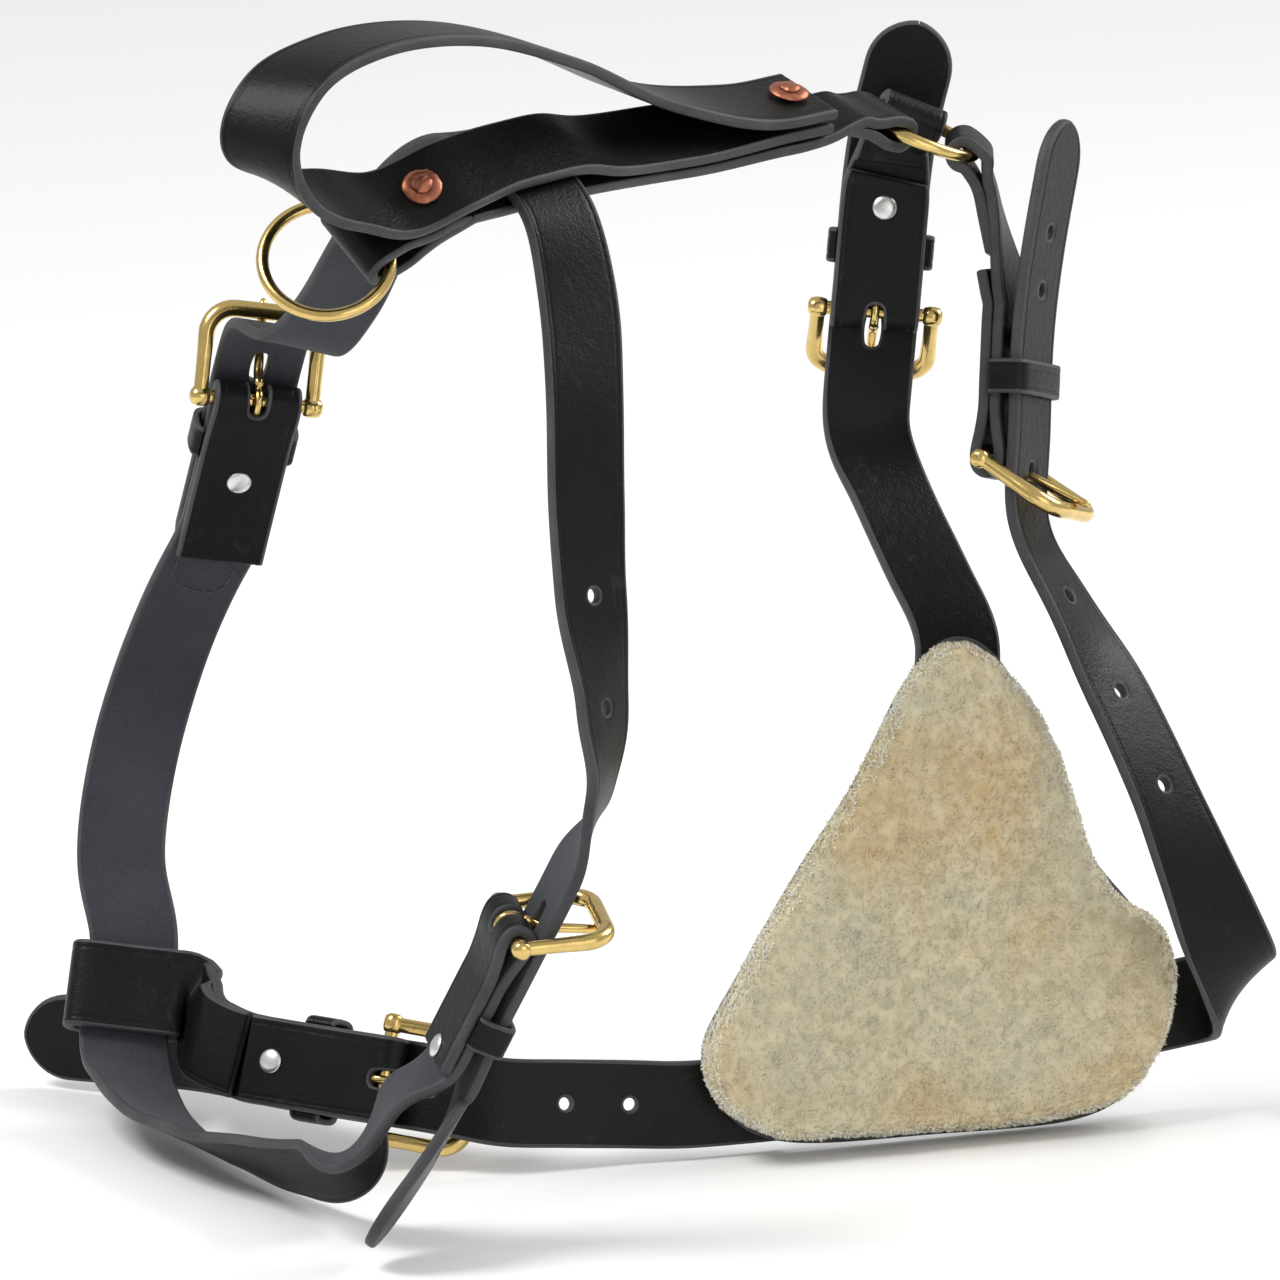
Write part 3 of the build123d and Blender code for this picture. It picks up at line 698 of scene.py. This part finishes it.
handle_bend = Bend([
    (above((84, 20, 290.2), roll_front, 2 * LAYER + 1.6), roll_front),
    (above((60, 20.5, 291), roll_front, 2 * LAYER + 1.6), roll_front),
    ((24, 21, 309), (0, -1, -0.1)), ((-15, 22, 328), (0, -1, -0.05)), ((-54, 22, 341), (0, -1, 0)),
    ((-92, 22, 344), (0.1, -1, 0)), ((-118, 22, 337), (0.3, -0.95, 0)),
    ((-128, 22, 321), (0.3, -0.95, -0.1)), ((-117, 20, 307), (0.1, -0.9, -0.35)),
    ((-99, 17, 301), (0, -0.85, -0.5)), (ring_rear.on(-3, -9.6), roll_rear),
    (ring_rear.on(-12, -6.6), roll_rear), (ring_rear.on(-21, -5.9), roll_rear),
    (above((-47, 17.3, 296), roll, 2 * LAYER + 1.4), roll),
    (above((-32, 18, 296), roll, 2 * LAYER + 1.6), roll),
    (above((-17, 18.7, 295.7), roll, 2 * LAYER + 1.4), roll),
    (above((0, 19.5, 295), roll, LAYER + 1.2), roll), (above((30, 20.5, 293), roll, LAYER + 0.5), roll),
    (above((70, 20.5, 290.5), roll_front, LAYER + 0.5), roll_front),
    (above((84, 20, 290.2), roll_front, LAYER + 0.9), roll_front),
], side=1, ease=3.0)
strap("handle_leather", "handle_strap", handle_bend)

# ---- girth ----

over_bend = Bend(run_on(run_on([
    ((-116, -21.5, 18), (0.74, 0.62, -0.29)), ((-106, -26, 32.5), (0.72, 0.65, -0.27)),
    (girth_near.on(-56, BILLET_Y + 3.5), (0.66, 0.72, -0.16)),
    *billet(girth_near, 1, (-37, 0.3), (-8, 0), (22, 0)), ((-66, -52, 134), (0.80, 0.55, -0.20)),
    ((-62, -49, 158), (0.94, 0.25, -0.20)), ((-60, -42, 190), (0.99, -0.05, -0.05)),
    ((-55, -35, 217), (0.98, -0.14, -0.05)), ((-47, -26, 245), (0.98, -0.14, -0.05)),
    ((-38, -14, 268), (0.98, -0.16, 0)), (above((-33, 2, 287), roll, LAYER + 0.4), (1, -0.05, 0)),
    (above((-32, 18, 296), roll, LAYER + 0.3), (1, -0.05, 0)),
    (above((-33, 34, 303), roll, LAYER + 0.1), (0.99, -0.1, 0)),
    ((-38, 52, 292), (0.97, -0.2, -0.2)), ((-40, 69, 268), (0.93, -0.2, -0.3)),
    ((-37, 86, 246), (0.90, -0.25, -0.35)), ((-34, 104, 231), (0.88, -0.4, -0.3)),
    (girth_far.on(24, BILLET_Y - 4), (0.85, -0.5, -0.2)), *billet(girth_far, -1, (14, 0), (-16, 0), (-48, 0)),
]), first=True), side=-1, ease=4.0)


def holes_at(bend, slots, *round_holes, r=2.2):
    """A strap's holes, as strap() takes them: long ones for its tongues, each (place, half length), and round ones."""
    return ([(bend.near(place), 0.0, half_long, 2.4) for place, half_long in slots]
            + [(bend.near(place), 0.0, r, r) for place in round_holes])


def tongue_slot(bend, seat):
    """The long hole that lets a tongue through where a strap folds round its bar."""
    return bend.near(seat.on(3.9, 0)), 0.0, 8.0, 2.9


strap("girth_over_leather", "girth_over_strap", over_bend, materials=WAXED, point_start=15, point_end=15,
      holes=holes_at(over_bend, [(girth_near.on(5.0, BILLET_Y), 6), (girth_far.on(7.8, BILLET_Y), 5.5)],
                     (-60, -42, 190), (-62, -49, 158), (-106, -26, 32.5)))

under_bend = Bend(
    fold(girth_near, CHAPE, 44, side=-1)
    + [((-105, -10, 46.5), (-0.50, -0.84, 0.10)), ((-106, 4, 28), (-0.50, -0.75, 0.45)),
       ((-101, 25, 15), (-0.55, -0.40, 0.72)), ((-97, 50, 11), (-0.68, -0.15, 0.68)),
       ((-92, 82, 9), (-0.85, -0.05, 0.50)), ((-83, 112, 9.5), (-0.88, 0.30, 0.35)),
       ((-75, 130, 13.5), (-0.78, 0.52, 0.30)), (loop.on(0, 0, -15), -loop.x), (loop.on(0, 0, 15), -loop.x),
       ((-49, 164, 68), (-0.70, 0.70, 0)), ((-38, 171, 94), (-0.80, 0.60, 0)),
       ((-29, 168, 124), (-0.84, 0.54, 0.05)), ((-27, 157, 148), (-0.83, 0.54, 0.1))]
    + fold(girth_far, CHAPE, 54, side=-1, last=True),
    side=-1, keep=(girth_near, girth_far))
strap("girth_under_leather", "girth_under_strap", under_bend, materials=WAXED,
      holes=[tongue_slot(under_bend, girth_near), tongue_slot(under_bend, girth_far)])

# ---- doubled straps ----


def doubled(seat_a, out_a, seat_b, out_b, **ring):
    """One strip round a bar at seat_a and round a ring at seat_b, its two layers flat together between them."""
    toward = 1 if seat_a.z.dot(seat_b.z) > 0 else -1
    centre = Bend([(seat_a.on(-out_a, 0), seat_a.z), (seat_b.on(-out_b, 0), seat_b.z * toward, ring["share"])],
                  side=1, ease=2.0)
    lay = LEATHER / 2
    over_a = 1 if centre.n[0].dot(seat_a.y) > 0 else -1
    over_b = 1 if centre.n[-1].dot(seat_b.y) > 0 else -1
    picks = range(4, len(centre.p) - 4, 5)
    upper = [(centre.p[i] + centre.n[i] * lay, centre.x[i], centre.share[i]) for i in picks]
    lower = [(centre.p[i] - centre.n[i] * lay, centre.share[i]) for i in picks]
    half = len(lower) // 2
    start = fold(seat_a, out_a, over=over_a)
    end = fold(seat_b, out_b, over=over_b, last=True, **ring)
    sign = 1 if start[-1][1].dot(upper[0][1]) > 0 else -1
    upper = [(p, x * sign, w) for p, x, w in upper]
    first = [(p, start[0][1], w) for p, w in lower[:half][::-1]]
    last = [(p, end[-1][1], w) for p, w in lower[half:][::-1]]
    return first + start + upper + end + last


for side, seat, out, ring, turn in (("left", neck_left, 36, ring_left, TURN_LEFT),
                                    ("right", neck_right, CHAPE, ring_right, TURN_RIGHT)):
    chape = Bend(doubled(seat, out, ring, 11, eye_r=RING_EYE, eye_long=EYE_LONG, share=SHARE, turn=-turn),
                 side=1, ease=0.5)
    strap(f"neck_chape_{side}_leather", f"neck_chape_{side}", chape, holes=[tongue_slot(chape, seat)])

# The tab: one strip from the belly buckle to the girth, round it, and back.
tab_centre = Bend([
    (belly.on(-CHAPE, 0), belly.z), ((-57, 112, 25), (0.30, 0.05, 0.94)),
    ((-56, 122, 27), (0.32, 0.10, 0.94)), (loop.on(LOOP_HALF + 6, 0), loop.z)], side=1, ease=2.0)
lay = LEATHER / 2
hug = (LEATHER + 2 * GAP + 1 + THICK) / 2
face_up = 1 if tab_centre.n[-1].dot(loop.y) > 0 else -1
outer = 1 if tab_centre.n[0].dot(belly.y) > 0 else -1
tab_outer, tab_inner = (
    [(tab_centre.p[i] + tab_centre.n[i] * lift, tab_centre.x[i], 1.0) for i in range(3, len(tab_centre.p) - 3, 5)]
    for lift in (lay * outer, -lay * outer))
over_top = [(LOOP_HALF + 3, lay + 0.6), (LOOP_HALF - 1, hug), (0, hug), (-LOOP_HALF + 1, hug),
            (-LOOP_HALF - 0.7, hug - 0.8), (-LOOP_HALF - 1.6, hug - 2.6)]
around = [item(loop.on(x, y * face_up * outer), loop.z) for x, y in over_top + [(x, -y) for x, y in over_top[::-1]]]
belly_end = fold(belly, CHAPE)
same = 1 if belly_end[-1][1].dot(tab_outer[0][1]) > 0 else -1
tab_bend = Bend(belly_end + [(p, x * same, w) for p, x, w in tab_outer + around + tab_inner[::-1]], side=1, ease=0.5)
strap("belly_tab_leather", "belly_tab", tab_bend, holes=[tongue_slot(tab_bend, belly)])

# ---- belly strap and neck straps ----

belly_bend = Bend(run_on([
    (plate.on(-6, 15, BACK), plate.y), (plate.on(-22, 15, BACK), plate.y),
    ((20, 5, 15), (0.07, 0.08, 0.99)), ((8, 13, 16), (0.1, 0.15, 0.98)),
    ((-9, 22.5, 17.5), (0.2, 0.2, 0.95)), ((-26, 31, 19.5), (0.28, 0.15, 0.94)),
    *billet(belly, 1, (20, 0), (-8, 0), (-38, 0)), ((-46, 120, 20), (0.2, 0.05, 0.97)),
    ((-43, 143, 17), (0.1, 0, 1)), ((-47, 163, 15), (0.05, 0, 1)), ((-54, 179, 14.5), (0, 0, 1))]),
    side=1, ease=4.0)
strap("belly_strap_leather", "belly_strap", belly_bend, point_end=15,
      holes=holes_at(belly_bend, [(belly.on(9, BILLET_Y), 5.5)], (-9, 22.5, 17.5), (8, 13, 16), r=1.9))

left_bend = Bend(run_on([
    (plate.on(50, 102, BACK), plate.x), (plate.on(47, 120, BACK - 1.5), plate.x),
    ((112, -15, 139), (0.93, -0.38, 0)), ((120, 6, 155), (0.95, -0.32, 0.05)),
    ((127, 27, 171), (0.95, -0.3, 0)), ((129, 40, 188), (0.85, -0.5, -0.05)),
    *billet(neck_left, 1, (20, 0), (-8, 0), (-40, 0)), ((151.5, 51, 275), neck_left.z),
    ((155, 50, 288), (0.72, -0.69, 0))]), side=1, ease=4.0)
strap("neck_left_leather", "neck_strap_left", left_bend, point_end=15,
      holes=holes_at(left_bend, [(neck_left.on(5.5, BILLET_Y), 5)]))

right_bend = Bend(run_on([
    (plate.on(75, 29, BACK), plate.y), (plate.on(103, 29, BACK - 1.7), plate.y),
    ((163, -63, 33), (0.16, 0, 1)), ((163, -77, 37.5), (0.56, -0.08, 0.80)),
    ((155, -87, 46), (0.83, -0.33, 0.42)), ((145, -90, 60), (0.91, -0.37, 0.12)),
    ((139, -85, 80), (0.96, -0.2, -0.1)), ((136, -74, 103), (0.98, -0.05, -0.16)),
    ((134, -58, 128), (0.98, 0, -0.15)), ((131, -40, 153), (0.93, 0.26, -0.25)),
    *billet(neck_right, -1, (18, 0.9), (-8, 0.3), (-36, 0), (-60, 2), (-84, 5.5))]),
    side=-1, ease=6.0, soft=6.0)
strap("neck_right_leather", "neck_strap_right", right_bend, point_end=15,
      holes=holes_at(right_bend, [(neck_right.on(5, BILLET_Y), 5)], (131, -40, 153), (134, -58, 128),
                     (136, -74, 103), neck_right.on(-50, BILLET_Y + 1), neck_right.on(-66, BILLET_Y + 3)))

# ---- buckles, keepers and rivets ----

SIDE_Z = 16.4  # from the middle of a frame to its side wires
RAIL_R = 2.3
BAR_R = 1.98
BUCKLE_LONG = 26.0
CORNER_R = 8.0
TONGUE_R = 1.4
EYE_KNOB = [(0.05, 3.0), (1.4, 2.9), (2.5, 2.2), (2.85, 0.9)]  # half of it: radius, height


def tilted(points, tilt):
    c, s = turned(tilt)
    return np.asarray(points, float) @ np.array([[c, s, 0], [-s, c, 0], [0, 0, 1]])


def corner(x, z, start):
    """A quarter turn of a frame's wire about (x, z), from that angle."""
    return [(x + CORNER_R * math.cos(a), 0, z + CORNER_R * math.sin(a))
            for a in np.radians(np.linspace(start, start + 90, 9))][1:]


def buckle_frame(tilt):
    """Round wire that swells towards its front rail, with the bar through an eye at each side."""
    x0, z0 = BUCKLE_LONG - CORNER_R, SIDE_Z - CORNER_R
    line = [(x, 0, -SIDE_Z) for x in np.linspace(-1.5, x0, 8)] + corner(x0, -z0, -90)
    line += [(BUCKLE_LONG, 0, z) for z in np.linspace(-z0, z0, 8)[1:]] + corner(x0, z0, 0)
    line += [(x, 0, SIDE_Z) for x in np.linspace(x0, -1.5, 8)[1:]]
    line = np.array(line)
    front = np.clip((line[:, 0] - 8) / 16, 0, 1)
    bow = bar_rows(line, RAIL_R * (0.92 + 0.16 * front * front * (3 - 2 * front)), 18)
    bar = bar_rows([(0, 0, z) for z in np.linspace(-SIDE_Z, SIDE_Z, 12)], [BAR_R] * 12, 16)
    knob, knob_faces = lathe(EYE_KNOB + [(2.9, 0)] + [(r, -y) for r, y in EYE_KNOB[::-1]], 24)
    knobs = [(knob[:, [0, 2, 1]] + vec(0, 0, z), knob_faces) for z in (-SIDE_Z, SIDE_Z)]
    points, faces = join(bow, bar, *knobs)
    return tilted(points, tilt), faces


def buckle_tongue(tilt):
    """A round pin with its eye closed round the bar and a thinner end that rests on the front rail."""
    over = tilt + math.degrees(math.atan((RAIL_R + TONGUE_R + 0.15) / BUCKLE_LONG))
    eye_r = BAR_R + 0.35 + TONGUE_R * 0.9
    ring = [(eye_r * math.cos(a), eye_r * math.sin(a), 0) for a in np.radians(np.linspace(70, 352, 22))]
    pin = [(x, -eye_r * 0.9 * max(0, 1 - (x - 3.5) / 6) ** 1.6, 0) for x in np.linspace(4.6, BUCKLE_LONG + 4.2, 22)]
    radii = [TONGUE_R * 0.88] * len(ring) + [TONGUE_R * (1.0 - 0.25 * max(0, (p[0] - 20) / 10)) for p in pin]
    radii[-1] *= 0.45
    points, faces = bar_rows(ring + pin, radii, 14)
    return tilted(points, over), faces


def keeper_loop(name, seat, x):
    """A narrow band over the billet, its ends tucked in between the two layers behind."""
    half = STRAP_W / 2 + 1.5
    top = BILLET_Y + LEATHER / 2 + GAP + 1
    line = [(-half + 1.9, 0.0), (-half + 0.7, 0.3), (-half, 1.6), (-half, top - 2.2), (-half + 0.6, top - 0.65),
            (-half + 2.2, top), (-half / 2, top + 0.25), (0, top + 0.35)]
    line += [(-z, y) for z, y in line[-2::-1]]
    bend = Bend([(seat.on(x, y, z), seat.x) for z, y in line], side=1, ease=0.8)
    strap(name + "_keeper_leather", name + "_keeper", bend, name + "_keeper", KEEPER_W, 1.9,
          crease=0.12, thin=lambda s: min(1.0, 0.35 + min(s, bend.long - s) / 3.5))


def add_fitting(name, shape, seat, body, material, node, shift=(0, 0, 0)):
    points, faces = shape
    piece = mesh_object(name, seat.put(points + vec(*shift)), faces, body, [material])
    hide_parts(node)


RIVET_HEAD = [(0.05, 1.28), (1.0, 1.24), (2.2, 1.05), (3.1, 0.68), (3.55, 0.3), (3.6, 0.02), (1.5, 0.0), (1.5, -3.4)]
for name, (seat, tilt, keeper_x, rivet_x) in SEATS.items():
    add_fitting(name + "_buckle", buckle_frame(tilt), seat, name + "_frame", BRASS, name + "_frame")
    add_fitting(name + "_pin", buckle_tongue(tilt), seat, name + "_tongue", BRASS, name + "_tongue")
    keeper_loop(name, seat, keeper_x)
    points, faces = lathe(RIVET_HEAD, 32)
    lifted = points + vec(0, THICK + 0.12, 0)
    both = join((lifted, faces), (lifted * vec(1, -1, 1), faces))
    add_fitting(name + "_rivet_heads", both, seat, "harness", STEEL, name + "_rivet", (rivet_x, 0, 0))

copper_rear = Seat(ring_rear.on(-14.5, LEATHER + 0.8), ring_rear.x, -ring_rear.z)
copper_front = Seat(above((76, 20.3, 290.4), roll_front, -LEATHER / 2 - 0.7), (1, 0, 0.02), roll_front)
BURR = [(2.2, 0.0), (5.7, 0.0), (5.75, 0.35), (5.3, 0.75), (4.2, 1.25), (2.9, 1.45), (2.2, 1.3)]
RIVET_LONG = 11.2
DOME = [(0.05, 2.75), (1.1, 2.66), (2.1, 2.4), (2.9, 1.95), (3.1, 1.5), (2.4, 1.2), (2.1, 0.9), (2.1, -10.0),
        (4.3, -10.1), (4.5, -10.6), (3.8, -11.1), (0.05, -RIVET_LONG)]
for end, seat, long in (("rear", copper_rear, 2 * LEATHER + LAYER + 2.8), ("front", copper_front, 3 * LAYER + 2.9)):
    washer = lathe(BURR, 44, 0.5)
    dome = lathe([(r, y if y > 0 else y + RIVET_LONG - long) for r, y in DOME], 40, 1.0)
    for part, shape in (("burr", washer), ("rivet", dome)):
        add_fitting(f"handle_copper_{part}_{end}", shape, seat, "harness", COPPER,
                    f"handle_{part}_{end}", (0, long, 0))
for node in ("front_ring", "rear_ring"):
    ring = frame["nodes"][node]
    ring.data.materials.clear()
    ring.data.materials.append(BRASS)

# ---- chest plate ----

OUTLINE = [(45, 144), (30, 131), (14, 104), (-4, 80), (-22, 53), (-34, 32), (-29, 14), (-10, 2.5), (35, 0.5), (80, 1),
           (99, 12), (109, 34), (104, 53), (84, 80), (74, 106), (60, 136)]
HEART = vec(38, 62)


def closed_curve(corners, count):
    corners = np.array(corners, float)
    n = len(corners)
    found = []
    for i in range(n):
        p0, p1, p2, p3 = (corners[(i + k) % n] for k in (-1, 0, 1, 2))
        for t in np.arange(24) / 24:
            found.append(0.5 * (2 * p1 + (p2 - p0) * t + (2 * p0 - 5 * p1 + 4 * p2 - p3) * t ** 2
                                + (3 * p1 - p0 - 3 * p2 + p3) * t ** 3))
    found = np.array(found + [found[0]])
    length = run_length(found)
    return sample(np.linspace(0, length[-1], count + 1)[:-1], length, found)


def outward(curve):
    along = np.roll(curve, -1, 0) - np.roll(curve, 1, 0)
    normal = np.stack([along[:, 1], -along[:, 0]], 1)
    normal /= np.linalg.norm(normal, axis=1)[:, None]
    return normal * np.sign(((curve - HEART) * normal).sum())


def shell(curve, rings):
    """Rings round a closed curve, each (share of the way out, push outwards, height): points, faces."""
    normal = outward(curve)
    points = []
    for share, push, height in rings:
        flat = HEART + (curve + normal * push - HEART) * share
        points.append(np.column_stack([flat, np.full(len(curve), height)]))
    return np.concatenate(points), tube_faces(len(rings), len(curve))


EDGE_POINTS = 300
edge_curve = closed_curve(OUTLINE, EDGE_POINTS)
top_z, low_z = -8 + PLATE_LEATHER - 0.1, -8
face_rings = (0.001, 0.2, 0.4, 0.6, 0.8, 0.95)
side_rings = [(-1.1, low_z), (-0.5, low_z + 0.15), (-0.1, low_z + 0.6), (0.05, (low_z + top_z) / 2),
              (-0.1, top_z - 0.6), (-0.5, top_z - 0.15), (-1.1, top_z)]
shape, faces = shell(edge_curve, [(s, 0, low_z) for s in face_rings] + [(1, *ring) for ring in side_rings]
                     + [(s, 0, top_z) for s in face_rings[::-1]])
side_from = len(face_rings) * EDGE_POINTS
side_to = side_from + (len(side_rings) - 1) * EDGE_POINTS
kinds = [1 if i < side_from else 0 if i >= side_to else 2 for i in range(len(faces))]
backing = mesh_object("plate_backing", plate.put(shape), faces, "harness", [EDGE, GRAIN, EDGE], kinds)
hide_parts("plate_leather")

# ---- fleece ----

FLEECE_LOW, FLEECE_TOP = -4.15, 7.6
FLEECE_EDGE = [(46.5, 143.5), (56, 138), (66.5, 125), (74, 110), (79.2, 93), (84, 77.5), (92.5, 65.5), (103, 57.5),
               (107.5, 46), (107, 33), (101.5, 19), (89, 6.5), (62, 2.3), (35, 2.6), (6, 3.6), (-15, 5.5), (-31.5, 16),
               (-36, 33), (-24.4, 53.6), (-6.4, 80.6), (11.6, 105), (27.6, 132), (37, 142)]
PILE_POINTS = 420
pile_curve = closed_curve(FLEECE_EDGE, PILE_POINTS)
pile_curve = pile_curve - outward(pile_curve) * 1.1


def pile_height(x, y):
    """The clipped pile's own unevenness: broad swells, and clumps a few millimetres across."""
    broad = wavy.noise(Vector((x * 0.028, y * 0.028, 3.1)))
    clump = wavy.noise(Vector((x * 0.16, y * 0.16, 7.7)))
    tuft = wavy.noise(Vector((x * 0.42, y * 0.42, 1.3)))
    return 0.9 * broad + 0.75 * clump + 0.3 * tuft


pile_rings = [(1, push, FLEECE_LOW + rise) for push, rise in (
    (-2.0, 0), (-0.6, 0.5), (0.3, 2.4), (0.6, 4.6), (0.4, 6.8), (-0.5, 8.6), (-2.0, 10.0), (-4.0, 11.0))]
pile_rings += [(s, -5.0 * s, FLEECE_TOP - 0.7 * max(0, s - 0.8) / 0.2) for s in np.linspace(0.99, 0.02, 62)]
shape, faces = shell(pile_curve, pile_rings)
tip = len(shape)
shape = np.concatenate([shape, [[HEART[0], HEART[1], FLEECE_TOP]]])
inner = tip - PILE_POINTS
faces += [(inner + j, inner + (j + 1) % PILE_POINTS, tip) for j in range(PILE_POINTS)]
faces.append(tuple(range(PILE_POINTS))[::-1])
clipped = shape.copy()
for k, (x, y, z) in enumerate(shape):
    rise = pile_height(x, y) * min(1.0, max(0.0, (z - FLEECE_LOW) / 4))
    lean = wavy.noise_vector(Vector((x * 0.3, y * 0.3, z * 0.3))) * min(1.0, max(0.0, (z - FLEECE_LOW - 0.5) / 2))
    clipped[k] += vec(lean.x * 0.45, lean.y * 0.45, rise + lean.z * 0.25)
pile = mesh_object("chest_fleece", plate.put(clipped), faces, "harness", [PILE])
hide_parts("plate_fleece")

# Locks of wool stand out of the pile; they lean outwards over its edge.
LOCKS = 20000
RIM_TURN = 0.75  # a face that turns further from the plate's front than this is on the pile's edge
sheet = pile.data
tops = np.array([v.co[:] for v in sheet.vertices])
areas = np.array([p.area for p in sheet.polygons])
normals = np.array([p.normal[:] for p in sheet.polygons])
centres = np.array([p.center[:] for p in sheet.polygons])
up = normals @ plate.z
flat = (centres / MM + MIDDLE - plate.origin) @ plate.axes.T
outer_side = np.clip((flat[:, 2] - FLEECE_LOW - 0.8) / 2, 0, 1)
chance = areas * outer_side * np.where(up < RIM_TURN, 2.4, 1.0)
picked = rng.choice(len(chance), LOCKS, p=chance / chance.sum())
lock_points, lock_faces, lock_kinds = [], [], []
for k, face in enumerate(picked):
    corners = tops[list(sheet.polygons[face].vertices)] / MM + MIDDLE
    blend = rng.dirichlet(np.ones(len(corners)))
    root = blend @ corners
    n = normals[face]
    swirl = wavy.noise_vector(Vector(root * 0.05))
    lean = vec(*swirl) * 1.3 + rng.normal(0, 0.55, 3)
    lean -= n * lean.dot(n)
    rim = up[face] < RIM_TURN
    # Locks on the pile's edge get the near-white rim material, which is painted light.
    lock_kinds += [int(rim)] * 3
    long = rng.uniform(1.6, 3.0) * (0.9 if rim else 1.0)
    rise = n * (0.42 if rim else 0.26) * long
    side = np.cross(n, lean)
    side = unit(side) if np.linalg.norm(side) > 1e-6 else unit(np.cross(n, vec(0.3, 0.5, 0.81)))
    wide = rng.uniform(0.20, 0.40)
    curl = rng.normal(0, 0.25)
    base = len(lock_points) * 7
    rows = []
    for t, w in ((-0.15, 0.8), (0.35, 1.0), (0.72, 0.62)):
        middle = root + rise * (t * (1.35 - 0.35 * t)) + lean * long * 0.45 * t * t + side * curl * t * (1 - t) * 2
        rows += [middle + side * wide * w, middle - side * wide * w]
    tip = root + rise + lean * long * 0.45 + side * curl * 0.3
    lock_points.append(np.array(rows + [tip]))
    lock_faces += [(base + i, base + i + 1, base + i + 3, base + i + 2) for i in (0, 2)]
    lock_faces.append((base + 4, base + 5, base + 6))
mesh_object("chest_fleece_locks", np.concatenate(lock_points), lock_faces, "harness",
            [FIBRE, PAINTED_RIM_LIGHT], lock_kinds)

# ---- stitching ----

STITCH = np.linspace(-0.5, 0.5, 6)  # places along one stitch
SINK = 4 * np.abs(STITCH) ** 3  # how it sinks into the leather at its ends
STITCH_SHAPE = np.array([0.5, 0.9, 1, 1, 0.9, 0.5])


def sewn(name, line, first, pitch, long, wide, lay, place=lambda points: points):
    """Stitches along a flat line, one to a pitch. lay gives a stitch its depth; place puts all of them on the piece."""
    line = np.array(line, float)
    length = run_length(line)
    shapes = []
    for middle in np.arange(first, length[-1] - pitch / 2 + first, pitch):
        at = middle + STITCH * long
        if (line[0] == line[-1]).all():
            at %= length[-1]
        shapes.append(bar_rows(lay(sample(at, length, line)), wide * STITCH_SHAPE, 6))
    points, faces = join(*shapes)
    mesh_object(name, place(points), faces, "harness", [THREAD])


tack = under_bend.near(girth_far.on(-69, 0))
half_u = [(tack + 12, 8.5), (tack + 4, 8.2), (tack + 1, 5.5)]
sewn("far_girth_stitches", [(s, -v) for s, v in half_u] + [(tack, 0)] + half_u[::-1], 1.8, 3.6, 2.7, 0.42,
     lambda flat: under_bend.put(np.column_stack([flat, 1.1 * SINK - THICK / 2 - 0.12])))
sewn_line = edge_curve - outward(edge_curve) * 4.0
sewn("plate_stitches", [*sewn_line, sewn_line[0]], 0, 4.2, 3.0, 0.45,
     lambda flat: np.column_stack([flat, low_z - 0.1 + SINK]), plate.put)

# ---- stage, light and camera ----

bpy.ops.mesh.primitive_plane_add(size=40, location=(0, 0, 0))
floor = bpy.context.object
floor.name = "floor"
paper = bpy.data.materials.new("paper")
paper.use_nodes = True
settle(paper.node_tree.nodes["Principled BSDF"], Base_Color=(0.86, 0.86, 0.855, 1), Roughness=0.9)
floor.data.materials.append(paper)

sky = bpy.data.worlds.new("sky")
scene.world = sky
sky.use_nodes = True
settle(sky.node_tree.nodes["Background"], Color=(1, 1, 1, 1), Strength=0.6)

# The camera looks forward, to the dog's left and down. Its aim is so far up the picture from the axes' origin.
AIM_UP = 152
turn, rise = math.radians(46), math.radians(15)
forward = vec(math.cos(rise) * math.cos(turn), math.cos(rise) * math.sin(turn), -math.sin(rise))
upward = vec(math.sin(rise) * math.cos(turn), math.sin(rise) * math.sin(turn), math.cos(rise))
rightward = np.cross(forward, upward)
FAR = 12000.0  # so far off that the view is as flat as the photograph's
PHOTO_WIDTH = 365.7  # millimetres across the picture, at the harness
SENSOR = 36
target = AIM_UP * upward
lens = bpy.data.cameras.new("camera")
lens.sensor_width = SENSOR
lens.lens = SENSOR * FAR / PHOTO_WIDTH
lens.clip_end = 100
camera = new_object("camera", lens)
camera.location = Vector(world(target - forward * FAR))
camera.rotation_euler = Vector(forward).to_track_quat("-Z", "Y").to_euler()
scene.camera = camera
scene.view_settings.view_transform = "Standard"


def lamp(name, across, up, back, size, power):
    """A soft lamp placed as the camera sees it: across, up and towards the camera, in metres."""
    place = vec(0, 0, 0.17) + rightward * across + upward * up - forward * back
    light = bpy.data.lights.new(name, "AREA")
    light.size = size
    light.energy = power
    holder = new_object(name, light)
    holder.location = place
    holder.rotation_euler = (Vector((0, 0, 0.16)) - Vector(place)).to_track_quat("-Z", "Y").to_euler()


lamp("key", -1.1, 1.4, 0.8, 0.8, 28)
lamp("rim", 1.2, 1.0, -0.3, 0.7, 14)
lamp("fill", 0.9, 0.1, 1.5, 1.2, 5)
